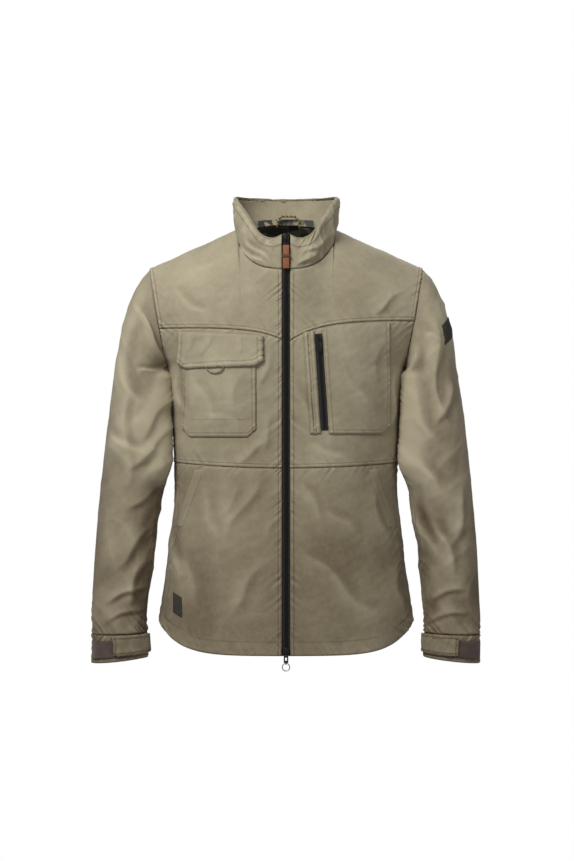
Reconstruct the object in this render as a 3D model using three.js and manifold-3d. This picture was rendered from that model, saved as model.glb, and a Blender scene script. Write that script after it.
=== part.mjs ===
// A man's field jacket, worn shape: shell panels, lining, collar, sleeves, pockets and the moving zip hardware.
// Millimetres, +Z up, the front faces -Y and +X is the wearer's left. The origin is the centre of the neck base.
import * as THREE from "three";
import { mergeVertices } from "three/addons/utils/BufferGeometryUtils.js";
import Module from "manifold-3d";

const wasm = await Module();
wasm.setup();

// Driving dimensions
const chestHalfWidth = 212; // at the armpit
const waistHalfWidth = 199;
const hipHalfWidth = 226; // at the side hem
const chestDepth = 105; // centre front to the side seam plane, at the collar top
const zipLean = 35; // how far the zip leans forward over its length
const backDepth = 122;
const armpitZ = -216;
const tip = { x: 244, z: -42 }; // shoulder point
const shoulderSlope = 0.459;
const neckHalfWidth = 88;
const collarTopZ = 12; // at the centre front
const frontNeckZ = -50;
const backNeckZ = 42;
const hemZ = -720; // centre front
const hemSideRise = 49;
const backTail = 15; // how far the back hem hangs below the front
const waistZ = -396;
const backYokeZ = -120;
const armholeHalfDepth = 65;
const cloth = 1.5; // shell thickness
const liningIn = 3.6; // lining's outer face, inward from the shell's face
const liningCloth = 0.9;
const seamGap = 0.3;
const zip = { opening: 14.4, tape: 15.5, tapeIn: 2.4, tapeThick: 0.7, chain: 6 };
const cuffHeight = 46;
const sectionPower = 2.3; // roundness of the body's sections
const rollPower = 2.2; // roundness of the roll over the shoulder

const colours = {
  shell: 0x94897a, yoke: 0xa89f83, chest: 0xa3987f, sleeve: 0x776d5d, collar: 0x8e876e, side: 0x837f6f,
  lining: 0x4d4e40, zip: 0x1d1b19, metal: 0x2c2b2a, steel: 0x9a9a98, leather: 0x9a5a38, pile: 0x56463f,
  badge: 0x2b2925, cord: 0x6b5537,
};

const jacket = new THREE.Group();

function materialOf(slot) {
  const metal = slot === "metal" || slot === "steel";
  return new THREE.MeshStandardMaterial({
    color: colours[slot],
    roughness: metal ? 0.4 : 0.85,
    metalness: metal ? 1 : 0,
  });
}

function addMesh(name, geometry, slot, parent = jacket) {
  const mesh = new THREE.Mesh(geometry, materialOf(slot));
  mesh.name = name;
  parent.add(mesh);
  return mesh;
}

// Body surface

const lerp = THREE.MathUtils.lerp;
const smooth = THREE.MathUtils.smoothstep;
const power = (base, exponent) => Math.pow(Math.max(base, 0), exponent);

const sideProfile = new THREE.SplineCurve([
  new THREE.Vector2(-760, hipHalfWidth + 6),
  new THREE.Vector2(-660, hipHalfWidth),
  new THREE.Vector2(-560, (waistHalfWidth + hipHalfWidth) / 2 - 1),
  new THREE.Vector2(-440, waistHalfWidth),
  new THREE.Vector2(-340, lerp(waistHalfWidth, chestHalfWidth, 0.33)),
  new THREE.Vector2(armpitZ, chestHalfWidth),
]);

// Half-width of the body below the armpit.
function halfWidth(z) {
  let low = 0;
  let high = 1;
  for (let i = 0; i < 24; i++) {
    const middle = (low + high) / 2;
    if (sideProfile.getPoint(middle).x < z) low = middle;
    else high = middle;
  }
  return sideProfile.getPoint(low).y;
}

const frontDepth = (z) => chestDepth + (zipLean * (collarTopZ - z)) / (collarTopZ - hemZ);
const rearDepth = (z) => backDepth - 16 * Math.exp(-(((z + 450) / 130) ** 2));
const ridgeRound = 25;
const ridgeLength = (x) => Math.hypot(x, ridgeRound);
const ridgeZ = (x) => tip.z + shoulderSlope * (ridgeLength(tip.x) - ridgeLength(x));
const armholeX = (z) => lerp(chestHalfWidth, tip.x, (z - armpitZ) / (tip.z - armpitZ));
const armholeMiddle = (armpitZ + tip.z) / 2;
const armholeHalfHeight = (tip.z - armpitZ) / 2;

function armholeY(z) {
  return armholeHalfDepth * Math.sqrt(Math.max(0, 1 - ((z - armholeMiddle) / armholeHalfHeight) ** 2));
}

// Roll over the shoulder: 1 on the chest, 0 on the ridge. The strip beside the zip stays straight.
function roll(t, x, rear) {
  const rounded = power(1 - power(t, rollPower), 1 / rollPower);
  return rear ? rounded : 1 - (1 - rounded) * smooth(Math.abs(x), 12, 75);
}

// Half-width that the section would have without the armhole cut, at the share t of the way up to the ridge.
function spread(t, rear) {
  const share = Math.min(t, 0.9999);
  const z = lerp(armpitZ, tip.z, share);
  const depth = (rear ? rearDepth(z) : frontDepth(z)) * roll(share, tip.x, rear);
  const cut = armholeX(z);
  return cut / power(1 - power(armholeY(z) / depth, sectionPower), 1 / sectionPower);
}

const hemAt = (share, rear) => {
  const low = rear ? hemZ - backTail : hemZ;
  return low + (hemZ + hemSideRise - low) * power(share, 5.5);
};

// Point of the body: side is -1 or 1, u runs 0 at the centre to 1 at the side seam or armhole,
// v runs 0 at the hem, 1 at the armpit, 2 on the shoulder ridge.
function bodyPoint(side, u, v, rear) {
  const share = power(Math.sin((u * Math.PI) / 2), 2 / sectionPower);
  if (v <= 1) {
    const z = lerp(hemAt(share, rear), armpitZ, v);
    const across = power(Math.cos((u * Math.PI) / 2), 2 / sectionPower);
    return new THREE.Vector3(side * halfWidth(z) * share, (rear ? rearDepth(z) : -frontDepth(z)) * across, z);
  }
  const t = power(Math.sin(((v - 1) * Math.PI) / 2), 2 / rollPower);
  const x = armholeX(lerp(armpitZ, tip.z, t)) * share;
  return new THREE.Vector3(side * x, sectionY(x, lerp(armpitZ, ridgeZ(x), t), t, rear), lerp(armpitZ, ridgeZ(x), t));
}

// Depth of the body at a place above the armpit.
function sectionY(x, z, t, rear) {
  const across = power(1 - power(Math.abs(x) / spread(t, rear), sectionPower), 1 / sectionPower);
  return (rear ? rearDepth(z) : -frontDepth(z)) * across * roll(t, x, rear);
}

// u of the front edge beside the zip, at the height v.
function edgeU(v) {
  let low = 0;
  let high = 0.1;
  for (let i = 0; i < 20; i++) {
    const middle = (low + high) / 2;
    if (bodyPoint(1, middle, v, false).x < zip.opening / 2) low = middle;
    else high = middle;
  }
  return low;
}

// Point on the column c, which starts at the zip edge on the front and at the centre behind.
const columnU = (c, v, rear) => (rear ? c : lerp(edgeU(v), 1, c));
const columnPoint = (side, c, v, rear) => bodyPoint(side, columnU(c, v, rear), v, rear);

// The column's point with the outward normal.
function bodyAt(side, c, v, rear) {
  const u = columnU(c, v, rear);
  const step = 1e-3;
  const at = (du, dv) =>
    bodyPoint(side, Math.min(1, Math.max(0, u + du)), Math.min(2, Math.max(0, v + dv)), rear);
  const across = at(step, 0).sub(at(-step, 0));
  const up = at(0, step).sub(at(0, -step));
  const normal = across.cross(up).normalize();
  if ((rear ? -1 : 1) * side < 0) normal.negate();
  return { point: bodyPoint(side, u, v, rear), normal };
}

// Seam curves, as heights over x.
const waistSeam = (x) => waistZ + 9 * (x / 200) ** 2;
const yokes = { "-1": { z: -151, drop: 21, reach: 45 }, 1: { z: -137, drop: 36, reach: 55 } };
const frontYokeSeam = (side) => (x) =>
  yokes[side].z - yokes[side].drop * Math.exp(-(Math.abs(x) - 9) / yokes[side].reach);
const backYokeSeam = () => backYokeZ;
const sideNeckZ = ridgeZ(neckHalfWidth);
const frontNeck = (x) =>
  sideNeckZ - (sideNeckZ - frontNeckZ) * power(1 - power(Math.abs(x) / neckHalfWidth, 2.6), 0.5);
const backNeck = (x) => backNeckZ + (sideNeckZ - backNeckZ) * (x / neckHalfWidth) ** 2;

// v at which the column c meets a seam curve.
function levelOf(side, c, rear, curve) {
  if ((curve === frontNeck || curve === backNeck) && c >= neckColumn(rear) - 1e-6) return 2;
  let low = 0;
  let high = 2;
  for (let i = 0; i < 30; i++) {
    const v = (low + high) / 2;
    const p = columnPoint(side, c, v, rear);
    if (p.z < curve(p.x)) low = v;
    else high = v;
  }
  return low;
}

// The column whose top is the side neck point.
function neckColumn(rear) {
  let low = 0;
  let high = 1;
  for (let i = 0; i < 30; i++) {
    const c = (low + high) / 2;
    if (columnPoint(1, c, 2, rear).x < neckHalfWidth) low = c;
    else high = c;
  }
  return low;
}

// Shells from grids

// A closed cloth shell between two grids of points; wrap joins the last column to the first.
function shellGeometry(outer, inner, wrap = false) {
  const rows = outer.length;
  const columns = outer[0].length;
  const points = [...outer.flat(), ...inner.flat()];
  const at = (r, c) => r * columns + (c % columns);
  const other = rows * columns;
  const faces = [];
  const quad = (a, b, c, d) => faces.push(a, b, c, a, c, d);
  const last = wrap ? columns : columns - 1;
  for (let r = 0; r < rows - 1; r++)
    for (let c = 0; c < last; c++) {
      quad(at(r, c), at(r, c + 1), at(r + 1, c + 1), at(r + 1, c));
      quad(other + at(r, c), other + at(r + 1, c), other + at(r + 1, c + 1), other + at(r, c + 1));
    }
  for (let c = 0; c < last; c++) {
    quad(at(0, c), other + at(0, c), other + at(0, c + 1), at(0, c + 1));
    quad(at(rows - 1, c), at(rows - 1, c + 1), other + at(rows - 1, c + 1), other + at(rows - 1, c));
  }
  if (!wrap)
    for (let r = 0; r < rows - 1; r++) {
      quad(at(r, 0), at(r + 1, 0), other + at(r + 1, 0), other + at(r, 0));
      quad(at(r, columns - 1), other + at(r, columns - 1), other + at(r + 1, columns - 1), at(r + 1, columns - 1));
    }
  const volume = faces.reduce((sum, _, i) => {
    if (i % 3) return sum;
    const [a, b, c] = [points[faces[i]], points[faces[i + 1]], points[faces[i + 2]]];
    return sum + a.dot(b.clone().cross(c));
  }, 0);
  if (volume < 0) for (let i = 0; i < faces.length; i += 3) [faces[i], faces[i + 1]] = [faces[i + 1], faces[i]];
  const geometry = new THREE.BufferGeometry().setFromPoints(points);
  geometry.setIndex(faces);
  geometry.computeVertexNormals();
  return geometry;
}

const offset = (frame, out) => frame.point.clone().addScaledVector(frame.normal, out);

// Cloth laid over a grid of frames, from the height top above the surface down to the height bottom.
function addCloth(name, frames, top, bottom, slot, wrap = false, parent = jacket) {
  const at = (out) => frames.map((row) => row.map((frame) => offset(frame, out)));
  return addMesh(name, shellGeometry(at(top), at(bottom), wrap), slot, parent);
}

const sideColumn = 0.8; // where the side panels meet the fronts and the back
const outerColumns = [0.33, 0.5, 0.66, sideColumn, 0.9, 1];
const neckShares = (rear) => (rear ? [0, 0.3, 0.6, 0.85, 1] : [0, 0.16, 0.37, 0.58, 0.76, 0.89, 1]); // denser towards its side
const columnsOf = (rear) => [...neckShares(rear).map((share) => share * neckColumn(rear)), ...outerColumns];
const frontColumns = columnsOf(false);
const backColumns = columnsOf(true);
const neckIndex = frontColumns.indexOf(neckColumn(false));
const neckIndexBack = backColumns.indexOf(neckColumn(true));
const bottomEdge = () => 0;
const gapV = 0.001; // half a seam gap, as a share of the body's height

// Rows of frames between two levels, which are functions of the column.
function rowsBetween(side, columns, rear, from, to, count) {
  const ends = columns.map((c) => [from(c), to(c)]);
  const armpit = [0.35, 0.7, 1, 1.06, 1.2, 1.45]; // rows past the armpit level are closer, where the body spreads
  const across = ends[0][0] < 1 && ends[0][1] > 1;
  return Array.from({ length: (across ? armpit.length + 1 : count) + 1 }, (_, r) =>
    columns.map((c, i) => {
      const [low, high] = [ends[i][0] + gapV, ends[i][1] - gapV];
      let v = lerp(low, high, r / count);
      if (across) {
        const stop = r ? armpit[r - 1] : 0;
        if (stop === undefined) v = high;
        else v = stop <= 1 ? lerp(low, 1, stop) : lerp(1, high, (stop - 1) * 1.6);
      }
      return bodyAt(side, Math.min(c, 1 - seamGap / 300), v, rear);
    }),
  );
}

const level = (side, rear, curve) => (c) => levelOf(side, c, rear, curve);
const lowerRows = Math.ceil((waistZ - hemZ) / 65); // close enough for the patches to lie clear of the facets
const chestRows = 5;
const yokeRows = 5;

function frontZones(side) {
  const waist = level(side, false, waistSeam);
  const yoke = level(side, false, frontYokeSeam(side));
  const neck = level(side, false, frontNeck);
  return {
    lower: rowsBetween(side, frontColumns, false, bottomEdge, waist, lowerRows),
    chest: rowsBetween(side, frontColumns, false, waist, yoke, chestRows),
    yoke: rowsBetween(side, frontColumns, false, yoke, neck, yokeRows),
  };
}

function backZones(side) {
  const waist = level(side, true, waistSeam);
  const yoke = level(side, true, backYokeSeam);
  const neck = level(side, true, backNeck);
  return {
    lower: rowsBetween(side, backColumns, true, bottomEdge, waist, lowerRows),
    chest: rowsBetween(side, backColumns, true, waist, yoke, chestRows),
    yoke: rowsBetween(side, backColumns, true, yoke, neck, yokeRows),
  };
}

const fronts = { "-1": frontZones(-1), 1: frontZones(1) };
const backs = { "-1": backZones(-1), 1: backZones(1) };
const sideIndex = frontColumns.indexOf(sideColumn);
const sideIndexBack = backColumns.indexOf(sideColumn);
const cutColumns = (rows, from, to) => rows.map((row) => row.slice(from, to));

// Both halves of the back as one grid, from one side to the other.
function wholeBack(zone, from, to) {
  return backs[-1][zone].map((row, r) => {
    const left = row.slice(from, to).reverse();
    return [...left, ...backs[1][zone][r].slice(Math.max(from, 1), to)];
  });
}

// Moves the last column of a grid sideways to leave a seam gap.
function trimColumn(rows, index, toward) {
  return rows.map((row) => {
    const copy = [...row];
    const away = row[toward].point.clone().sub(row[index].point).normalize();
    copy[index] = { point: row[index].point.clone().addScaledVector(away, seamGap), normal: row[index].normal };
    return copy;
  });
}

// Columns that the lining shares with the shell.
const liningFront = [1, 2, 3, 4, 5, neckIndex, 8, 10, 12];
const liningBack = [0, 1, 2, 3, neckIndexBack, 6, 8, 10];

const sideName = { "-1": "right", 1: "left" };

for (const side of [-1, 1]) {
  const name = sideName[side];
  const { lower, chest, yoke } = fronts[side];
  const front = trimColumn(cutColumns(lower, 0, sideIndex + 1), sideIndex, sideIndex - 1);
  addCloth("lower_front_" + name, front, 0, -cloth, "shell");
  addCloth("chest_panel_" + name, chest, 0, -cloth, "chest");
  addCloth("front_yoke_" + name, yoke, 0, -cloth, "yoke");
  const wrapPanel = lower.map((row, r) => [
    ...row.slice(sideIndex, -1),
    ...backs[side].lower[r].slice(sideIndexBack).reverse(),
  ]);
  addCloth("side_panel_" + name, wrapPanel, 0, -cloth, "side");
  const whole = [...lower.slice(1, -1), ...chest.slice(0, -1), ...yoke];
  const thinned = whole.map((row) => liningFront.map((c) => row[c]));
  addCloth("lining_front_" + name, thinned, -liningIn, -liningIn - liningCloth, "lining");
}

const backEnd = backColumns.length;
const lowerBack = wholeBack("lower", 0, sideIndexBack + 1);
const lastLower = lowerBack[0].length - 1;
addCloth(
  "back_panel_lower",
  trimColumn(trimColumn(lowerBack, 0, 1), lastLower, lastLower - 1),
  0,
  -cloth,
  "shell",
);
addCloth("back_panel_upper", wholeBack("chest", 0, backEnd), 0, -cloth, "chest");
addCloth("back_yoke", wholeBack("yoke", 0, backEnd), 0, -cloth, "yoke");
const backLining = [
  ...wholeBack("lower", 0, backEnd).slice(1, -1),
  ...wholeBack("chest", 0, backEnd).slice(0, -1),
  ...wholeBack("yoke", 0, backEnd),
];
const backMiddle = backEnd - 1;
const liningAcross = [...liningBack.map((c) => backMiddle - c).reverse(), ...liningBack.slice(1).map((c) => backMiddle + c)];
addCloth("lining_back", backLining.map((row) => liningAcross.map((c) => row[c])), -liningIn, -liningIn - liningCloth, "lining");

// Collar: from the neckline up to its top edge, with a shallow notch at the centre front.
// Its heights above the front end stand at even angles from the centre front to the centre back.
const collarTop = { halfWidth: neckHalfWidth + 4, middleY: -23, halfDepth: 83 };
const collarTopHeights = new THREE.SplineCurve(
  [1, -7, 2, 30, 52, 66, 72, 75, 76, 76.5, 77, 77, 77].map((height, i) => new THREE.Vector2(i / 12, collarTopZ + height)),
);

function collarEdge(side, base, rear) {
  const lean = Math.asin(Math.min(1, Math.abs(base.x) / neckHalfWidth));
  const angle = rear ? Math.PI - lean : lean;
  const height = collarTopHeights.getPoint(angle / Math.PI).y;
  return new THREE.Vector3(
    side * collarTop.halfWidth * Math.sin(angle),
    collarTop.middleY - collarTop.halfDepth * Math.cos(angle),
    height,
  );
}

const collarRows = 4;
const collarLift = 0.6; // clear of the neck seam
const collarBulge = 3;

function collarColumn(side, frame, rear) {
  const base = frame.point.clone().add(new THREE.Vector3(0, 0, collarLift));
  const top = collarEdge(side, base, rear);
  const outward = new THREE.Vector3(base.x, base.y - collarTop.middleY, 0).normalize();
  return Array.from({ length: collarRows + 1 }, (_, r) => {
    const s = r / collarRows;
    const point = base.clone().lerp(top, s);
    const straight = smooth(Math.abs(base.x), 16, 40); // flat beside the zip
    return { point: point.addScaledVector(outward, rear || straight ? collarBulge * straight * Math.sin(Math.PI * s) : 0), normal: outward };
  });
}

function collarColumns() {
  const half = (side) => {
    const front = fronts[side].yoke.at(-1).slice(0, neckIndex + 1);
    const back = backs[side].yoke.at(-1).slice(0, neckIndexBack).reverse();
    return [
      ...front.map((f) => collarColumn(side, f, false)),
      ...back.map((f) => collarColumn(side, f, true)),
    ];
  };
  return [...half(-1), ...half(1).reverse().slice(1)];
}

const collar = collarColumns();
const byRows = (columns) => Array.from({ length: collarRows + 1 }, (_, r) => columns.map((column) => column[r]));
addCloth("collar_outer", byRows(collar), 0, -cloth, "collar");
addCloth("collar_inner", byRows(collar.slice(1, -1)), -cloth - 0.8, -cloth - 2, "collar");

// Patches on the front: a grid over x and height, laid on the body surface.

// The body surface at a place in front view.
function frontAt(x, z) {
  const ax = Math.abs(x);
  const t = z > armpitZ ? (z - armpitZ) / (ridgeZ(ax) - armpitZ) : 0;
  if (t) return new THREE.Vector3(x, sectionY(ax, z, t, false), z);
  const y = -frontDepth(z) * power(1 - power(ax / halfWidth(z), sectionPower), 1 / sectionPower);
  return new THREE.Vector3(x, y, z);
}

function frontFrame(x, z) {
  const step = 0.5;
  const across = frontAt(x + step, z).sub(frontAt(x - step, z));
  const up = frontAt(x, z + step).sub(frontAt(x, z - step));
  return { point: frontAt(x, z), normal: across.cross(up).normalize() };
}

// Grid of frames over the region between two edges; left and right give x over the height share, low and high z over the width share.
function patchGrid(left, right, low, high, columns, rows) {
  return Array.from({ length: rows + 1 }, (_, r) =>
    Array.from({ length: columns + 1 }, (_, c) => {
      const s = c / columns;
      const z = lerp(low(s), high(s), r / rows);
      return frontFrame(lerp(left(r / rows), right(r / rows), s), z);
    }),
  );
}

const patchLift = 1.3; // clear of the shell's facets
const patchCloth = 1.2;
const corner = 14; // chamfer of the pocket corners

// A height that rises towards the chamfered ends.
const chamfer = (z, width, leftCut, rightCut) => (s) =>
  z + corner * (Math.max(0, 1 - (s * width) / corner) * leftCut + Math.max(0, 1 - ((1 - s) * width) / corner) * rightCut);

const pocketSide = chestHalfWidth - 31; // outer edges of both chest pockets
const flapPocket = { left: -pocketSide, right: -53, bottom: -341, top: -176 };
const pocketWidth = flapPocket.right - flapPocket.left;
addCloth(
  "flap_pocket_patch",
  patchGrid(
    () => flapPocket.left,
    () => flapPocket.right,
    chamfer(flapPocket.bottom, pocketWidth, 1, 0),
    () => flapPocket.top,
    10,
    5,
  ),
  patchLift + patchCloth,
  patchLift,
  "chest",
);

const flap = { left: -pocketSide - 5, right: -42, topLeft: -158, topRight: -167, bottomLeft: -220, bottomRight: -216, thick: 2 };
const flapLift = patchLift + patchCloth + 1.2;
const flapWidth = flap.right - flap.left;
const flapFrames = patchGrid(
  () => flap.left,
  () => flap.right,
  (s) => chamfer(lerp(flap.bottomLeft, flap.bottomRight, s), flapWidth, 0.8, 0.6)(s),
  (s) => lerp(flap.topLeft, flap.topRight, s),
  12,
  3,
);
addCloth("pocket_flap", flapFrames, flapLift + flap.thick, flapLift, "yoke");

const flapHook = { left: -140, right: -90, top: -178, bottom: -196 };
const hookThick = 0.5;
const hookGrid = patchGrid(
  () => flapHook.left, () => flapHook.right, () => flapHook.bottom, () => flapHook.top, 4, 1,
);
addCloth("flap_hook_patch", hookGrid, flapLift - 0.2, flapLift - 0.2 - hookThick, "pile");

const flapLoopPlace = { x: -124, z: -221.5, width: 30, drop: 9, cord: 2.4 };

function regular(sides, radius) {
  const shape = new THREE.Shape();
  for (let i = 0; i < sides; i++) {
    const angle = ((i + 0.5) * 2 * Math.PI) / sides;
    shape[i ? "lineTo" : "moveTo"](radius * Math.cos(angle), radius * Math.sin(angle));
  }
  shape.closePath();
  return shape;
}

// A cord of an even section along a smooth curve through the given points.
function cordGeometry(points, radius, steps, sides = 8) {
  const path = new THREE.CatmullRomCurve3(points);
  const geometry = new THREE.ExtrudeGeometry(regular(sides, radius), { steps, extrudePath: path, bevelEnabled: false });
  geometry.deleteAttribute("normal");
  geometry.deleteAttribute("uv");
  return mergeVertices(geometry, 1e-4);
}

function flapLoopPoints() {
  const { x, z, width, drop } = flapLoopPlace;
  const stops = [
    [-0.5, 0],
    [-0.38, 0.6],
    [0, 1],
    [0.38, 0.6],
    [0.5, 0],
  ];
  return stops.map(([s, down]) => offset(frontFrame(x + s * width, z - down * drop), flapLift + flap.thick / 2));
}

addMesh("flap_pull_loop", cordGeometry(flapLoopPoints(), flapLoopPlace.cord / 2, 16), "cord");

const zipPocket = { top: [56, -160], bottom: [67, -333], right: pocketSide, low: -336, zipWidth: 14, facing: 18, border: 1 };
const pocketZipX = (z) => lerp(zipPocket.top[0], zipPocket.bottom[0], (zipPocket.top[1] - z) / (zipPocket.top[1] - zipPocket.bottom[1]));
const zipEdge = zipPocket.zipWidth / 2 + zipPocket.border;
const zipPatchTop = (x) => frontYokeSeam(1)(x) - 3;
const zipPatchWidth = zipPocket.right - zipPocket.bottom[0] - zipEdge;
const zipPatchLeft = (share) => pocketZipX(lerp(zipPocket.low, zipPatchTop(70), share)) + zipEdge;
addCloth(
  "zip_pocket_patch",
  patchGrid(
    zipPatchLeft,
    () => zipPocket.right,
    (s) => chamfer(zipPocket.low, zipPatchWidth, 0, 1)(s),
    (s) => zipPatchTop(lerp(zipPatchLeft(1), zipPocket.right, s)),
    9,
    5,
  ),
  patchLift + patchCloth,
  patchLift,
  "chest",
);
addCloth(
  "zip_pocket_facing",
  patchGrid(
    (share) => pocketZipX(lerp(zipPocket.low, zipPatchTop(50), share)) - zipEdge - zipPocket.facing + zipPocket.border,
    (share) => pocketZipX(lerp(zipPocket.low, zipPatchTop(50), share)) - zipEdge,
    () => zipPocket.low,
    (s) => zipPatchTop(lerp(39, 48, s)),
    2,
    5,
  ),
  patchLift + patchCloth,
  patchLift,
  "chest",
);

// Slanted hand pockets: a welt on the shell and a bag behind it, between the shell and the lining.
const handPocket = { top: [waistHalfWidth - 47, waistZ + 7], bottom: [waistHalfWidth - 11, waistZ - 104], width: 15 };
for (const side of [-1, 1]) {
  const name = sideName[side];
  const middle = (share) => side * lerp(handPocket.bottom[0], handPocket.top[0], share) - handPocket.width / 2;
  addCloth(
    "hand_pocket_welt_" + name,
    patchGrid(
      middle,
      (share) => middle(share) + handPocket.width,
      () => handPocket.bottom[1],
      () => handPocket.top[1] - 10,
      2,
      4,
    ),
    patchLift + 1,
    patchLift,
    "shell",
  );
  const bag = cutColumns(fronts[side].lower.slice(2), 3, sideIndex - 1);
  addCloth("hand_pocket_bag_" + name, bag, -cloth - 0.6, -cloth - 1.4, "lining");
}

const hemBadge = { x: 36 - hipHalfWidth, z: -632, width: 15, height: 34 };
addCloth(
  "hem_badge",
  patchGrid(
    () => hemBadge.x - hemBadge.width / 2,
    () => hemBadge.x + hemBadge.width / 2,
    (s) => hemBadge.z - hemBadge.height / 2 - 8 * s,
    (s) => hemBadge.z + hemBadge.height / 2 - 8 * s,
    2,
    2,
  ),
  patchLift + 0.8,
  patchLift,
  "badge",
);

// Inside the back of the neck: blank label and hanger loop.
function backAt(x, z) {
  const ax = Math.abs(x);
  return new THREE.Vector3(x, sectionY(ax, z, (z - armpitZ) / (ridgeZ(ax) - armpitZ), true), z);
}

function backFrame(x, z) {
  const step = 0.5;
  const across = backAt(x - step, z).sub(backAt(x + step, z));
  const up = backAt(x, z + step).sub(backAt(x, z - step));
  return { point: backAt(x, z), normal: across.cross(up).normalize() };
}

const label = { left: 4, right: 27, top: 34, height: 11 };
const labelFrames = [0, 1].map((r) =>
  [0, 1, 2].map((c) => backFrame(lerp(label.right, label.left, c / 2), label.top - label.height * (1 - r))),
);
const labelIn = liningIn + liningCloth + 3.2; // clear of the lining's facets
addCloth("neck_label", labelFrames, -labelIn, -labelIn - 0.6, "badge");

const hanger = { x: 4, halfWidth: 21, flat: 9, height: 15, cord: 4, below: 4 };
function hangerGeometry() {
  const seam = backFrame(hanger.x, backNeckZ).point;
  const y = seam.y - 11;
  const z = backNeckZ - hanger.below;
  const at = (s, up) => new THREE.Vector3(hanger.x + s, y, z + up);
  const top = hanger.height + hanger.below;
  const path = new THREE.CurvePath();
  const turn = (a, b, c) => new THREE.QuadraticBezierCurve3(a, b, c);
  path.add(turn(at(-hanger.halfWidth, 0), at(-hanger.halfWidth + 3, top), at(-hanger.flat, top)));
  path.add(new THREE.LineCurve3(at(-hanger.flat, top), at(hanger.flat, top)));
  path.add(turn(at(hanger.flat, top), at(hanger.halfWidth - 3, top), at(hanger.halfWidth, 0)));
  const geometry = new THREE.ExtrudeGeometry(regular(8, hanger.cord / 2), {
    steps: 24,
    extrudePath: path,
    bevelEnabled: false,
  });
  geometry.deleteAttribute("normal");
  geometry.deleteAttribute("uv");
  return mergeVertices(geometry, 1e-4);
}
addMesh("hanger_loop", hangerGeometry(), "cord");

// Solids for the hardware

function solidFrom(geometry) {
  const bare = geometry.clone();
  for (const name of Object.keys(bare.attributes)) if (name !== "position") bare.deleteAttribute(name);
  const merged = mergeVertices(bare, 1e-4);
  const triVerts = new Uint32Array(merged.index.array);
  return new wasm.Manifold(new wasm.Mesh({ numProp: 3, vertProperties: merged.attributes.position.array, triVerts }));
}

function geometryFrom(solid) {
  const mesh = solid.getMesh();
  const geometry = new THREE.BufferGeometry();
  geometry.setAttribute("position", new THREE.BufferAttribute(new Float32Array(mesh.vertProperties), 3));
  geometry.setIndex(new THREE.BufferAttribute(new Uint32Array(mesh.triVerts), 1));
  geometry.computeVertexNormals();
  return geometry;
}

// A box from its lowest to its highest corner.
function block(low, high) {
  const size = high.map((value, i) => value - low[i]);
  const geometry = new THREE.BoxGeometry(...size);
  geometry.translate(...high.map((value, i) => (value + low[i]) / 2));
  return solidFrom(geometry);
}

// A rod along X with its middle at (0, y, z).
function rod(radius, length, y, z, sides = 12) {
  const geometry = new THREE.CylinderGeometry(radius, radius, length, sides);
  geometry.rotateZ(Math.PI / 2);
  geometry.translate(0, y, z);
  return solidFrom(geometry);
}

// A plate in the XZ plane with rounded corners.
function plate(width, low, high, yLow, yHigh, radius) {
  const shape = new THREE.Shape();
  const w = width / 2;
  shape.moveTo(-w + radius, low);
  shape.lineTo(w - radius, low);
  shape.absarc(w - radius, low + radius, radius, -Math.PI / 2, 0);
  shape.lineTo(w, high - radius);
  shape.absarc(w - radius, high - radius, radius, 0, Math.PI / 2);
  shape.lineTo(-w + radius, high);
  shape.absarc(-w + radius, high - radius, radius, Math.PI / 2, Math.PI);
  shape.lineTo(-w, low + radius);
  shape.absarc(-w + radius, low + radius, radius, Math.PI, 1.5 * Math.PI);
  const geometry = new THREE.ExtrudeGeometry(shape, { depth: yHigh - yLow, bevelEnabled: false, curveSegments: 3 });
  geometry.rotateX(Math.PI / 2); // (x, y, depth) to (x, -depth, y)
  geometry.translate(0, yHigh, 0);
  return solidFrom(geometry);
}

// Slider body: a plate in front of the chain with two flanges beside it and a bridge for the pull.
// Its top is at z = 0 and the front of the cloth is at y = 0.
const slider = {
  width: 12.4, length: 14, plateY: [-3.4, -0.9], flangeX: [3.5, 4.7], flangeY: 1.4,
  bridge: { width: 3.4, top: -3.6, bottom: -11, rise: 3.5, wall: 1.3 },
  bar: { radius: 0.55, z: -8.3, below: 0.95 },
};

function sliderBody(scale = 1) {
  const { width, length, plateY, flangeX, flangeY, bridge } = slider;
  const front = plate(width * scale, -length, 0, plateY[0], plateY[1], 3);
  const left = block([-flangeX[1] * scale, plateY[1] - 0.1, -length + 1], [-flangeX[0] * scale, flangeY, -1]);
  const right = block([flangeX[0] * scale, plateY[1] - 0.1, -length + 1], [flangeX[1] * scale, flangeY, -1]);
  const top = plateY[0] - bridge.rise;
  const arch = block([-bridge.width / 2, top, bridge.bottom], [bridge.width / 2, plateY[0] + 0.1, bridge.top]);
  const hole = block(
    [-bridge.width, top + bridge.wall, bridge.bottom + bridge.wall],
    [bridge.width, plateY[0], bridge.top - bridge.wall],
  );
  return front.add(left).add(right).add(arch.subtract(hole));
}

const barY = slider.plateY[0] - slider.bar.below;

// Pull frame that hangs on the bridge: a bar through the bridge and two rails down to a plate.
function pullFrame(width, railTo, plateTo) {
  const { bar, bridge } = slider;
  const outer = plate(width, plateTo, bar.z + bar.radius, barY - bar.radius, barY + bar.radius, 0.6);
  const window = block(
    [-bridge.width / 2 - 0.8, barY - 3, railTo],
    [bridge.width / 2 + 0.8, barY + 3, bar.z - bar.radius],
  );
  return outer.subtract(window);
}

// Main zip, in a frame that leans with the front: local z runs up the chain from its top end.
const zipLength = Math.hypot(collarTopZ - hemZ, zipLean);
const zipFrame = new THREE.Group();
zipFrame.position.set(0, -chestDepth, collarTopZ);
zipFrame.rotation.x = -Math.atan2(zipLean, collarTopZ - hemZ);
jacket.add(zipFrame);

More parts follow.
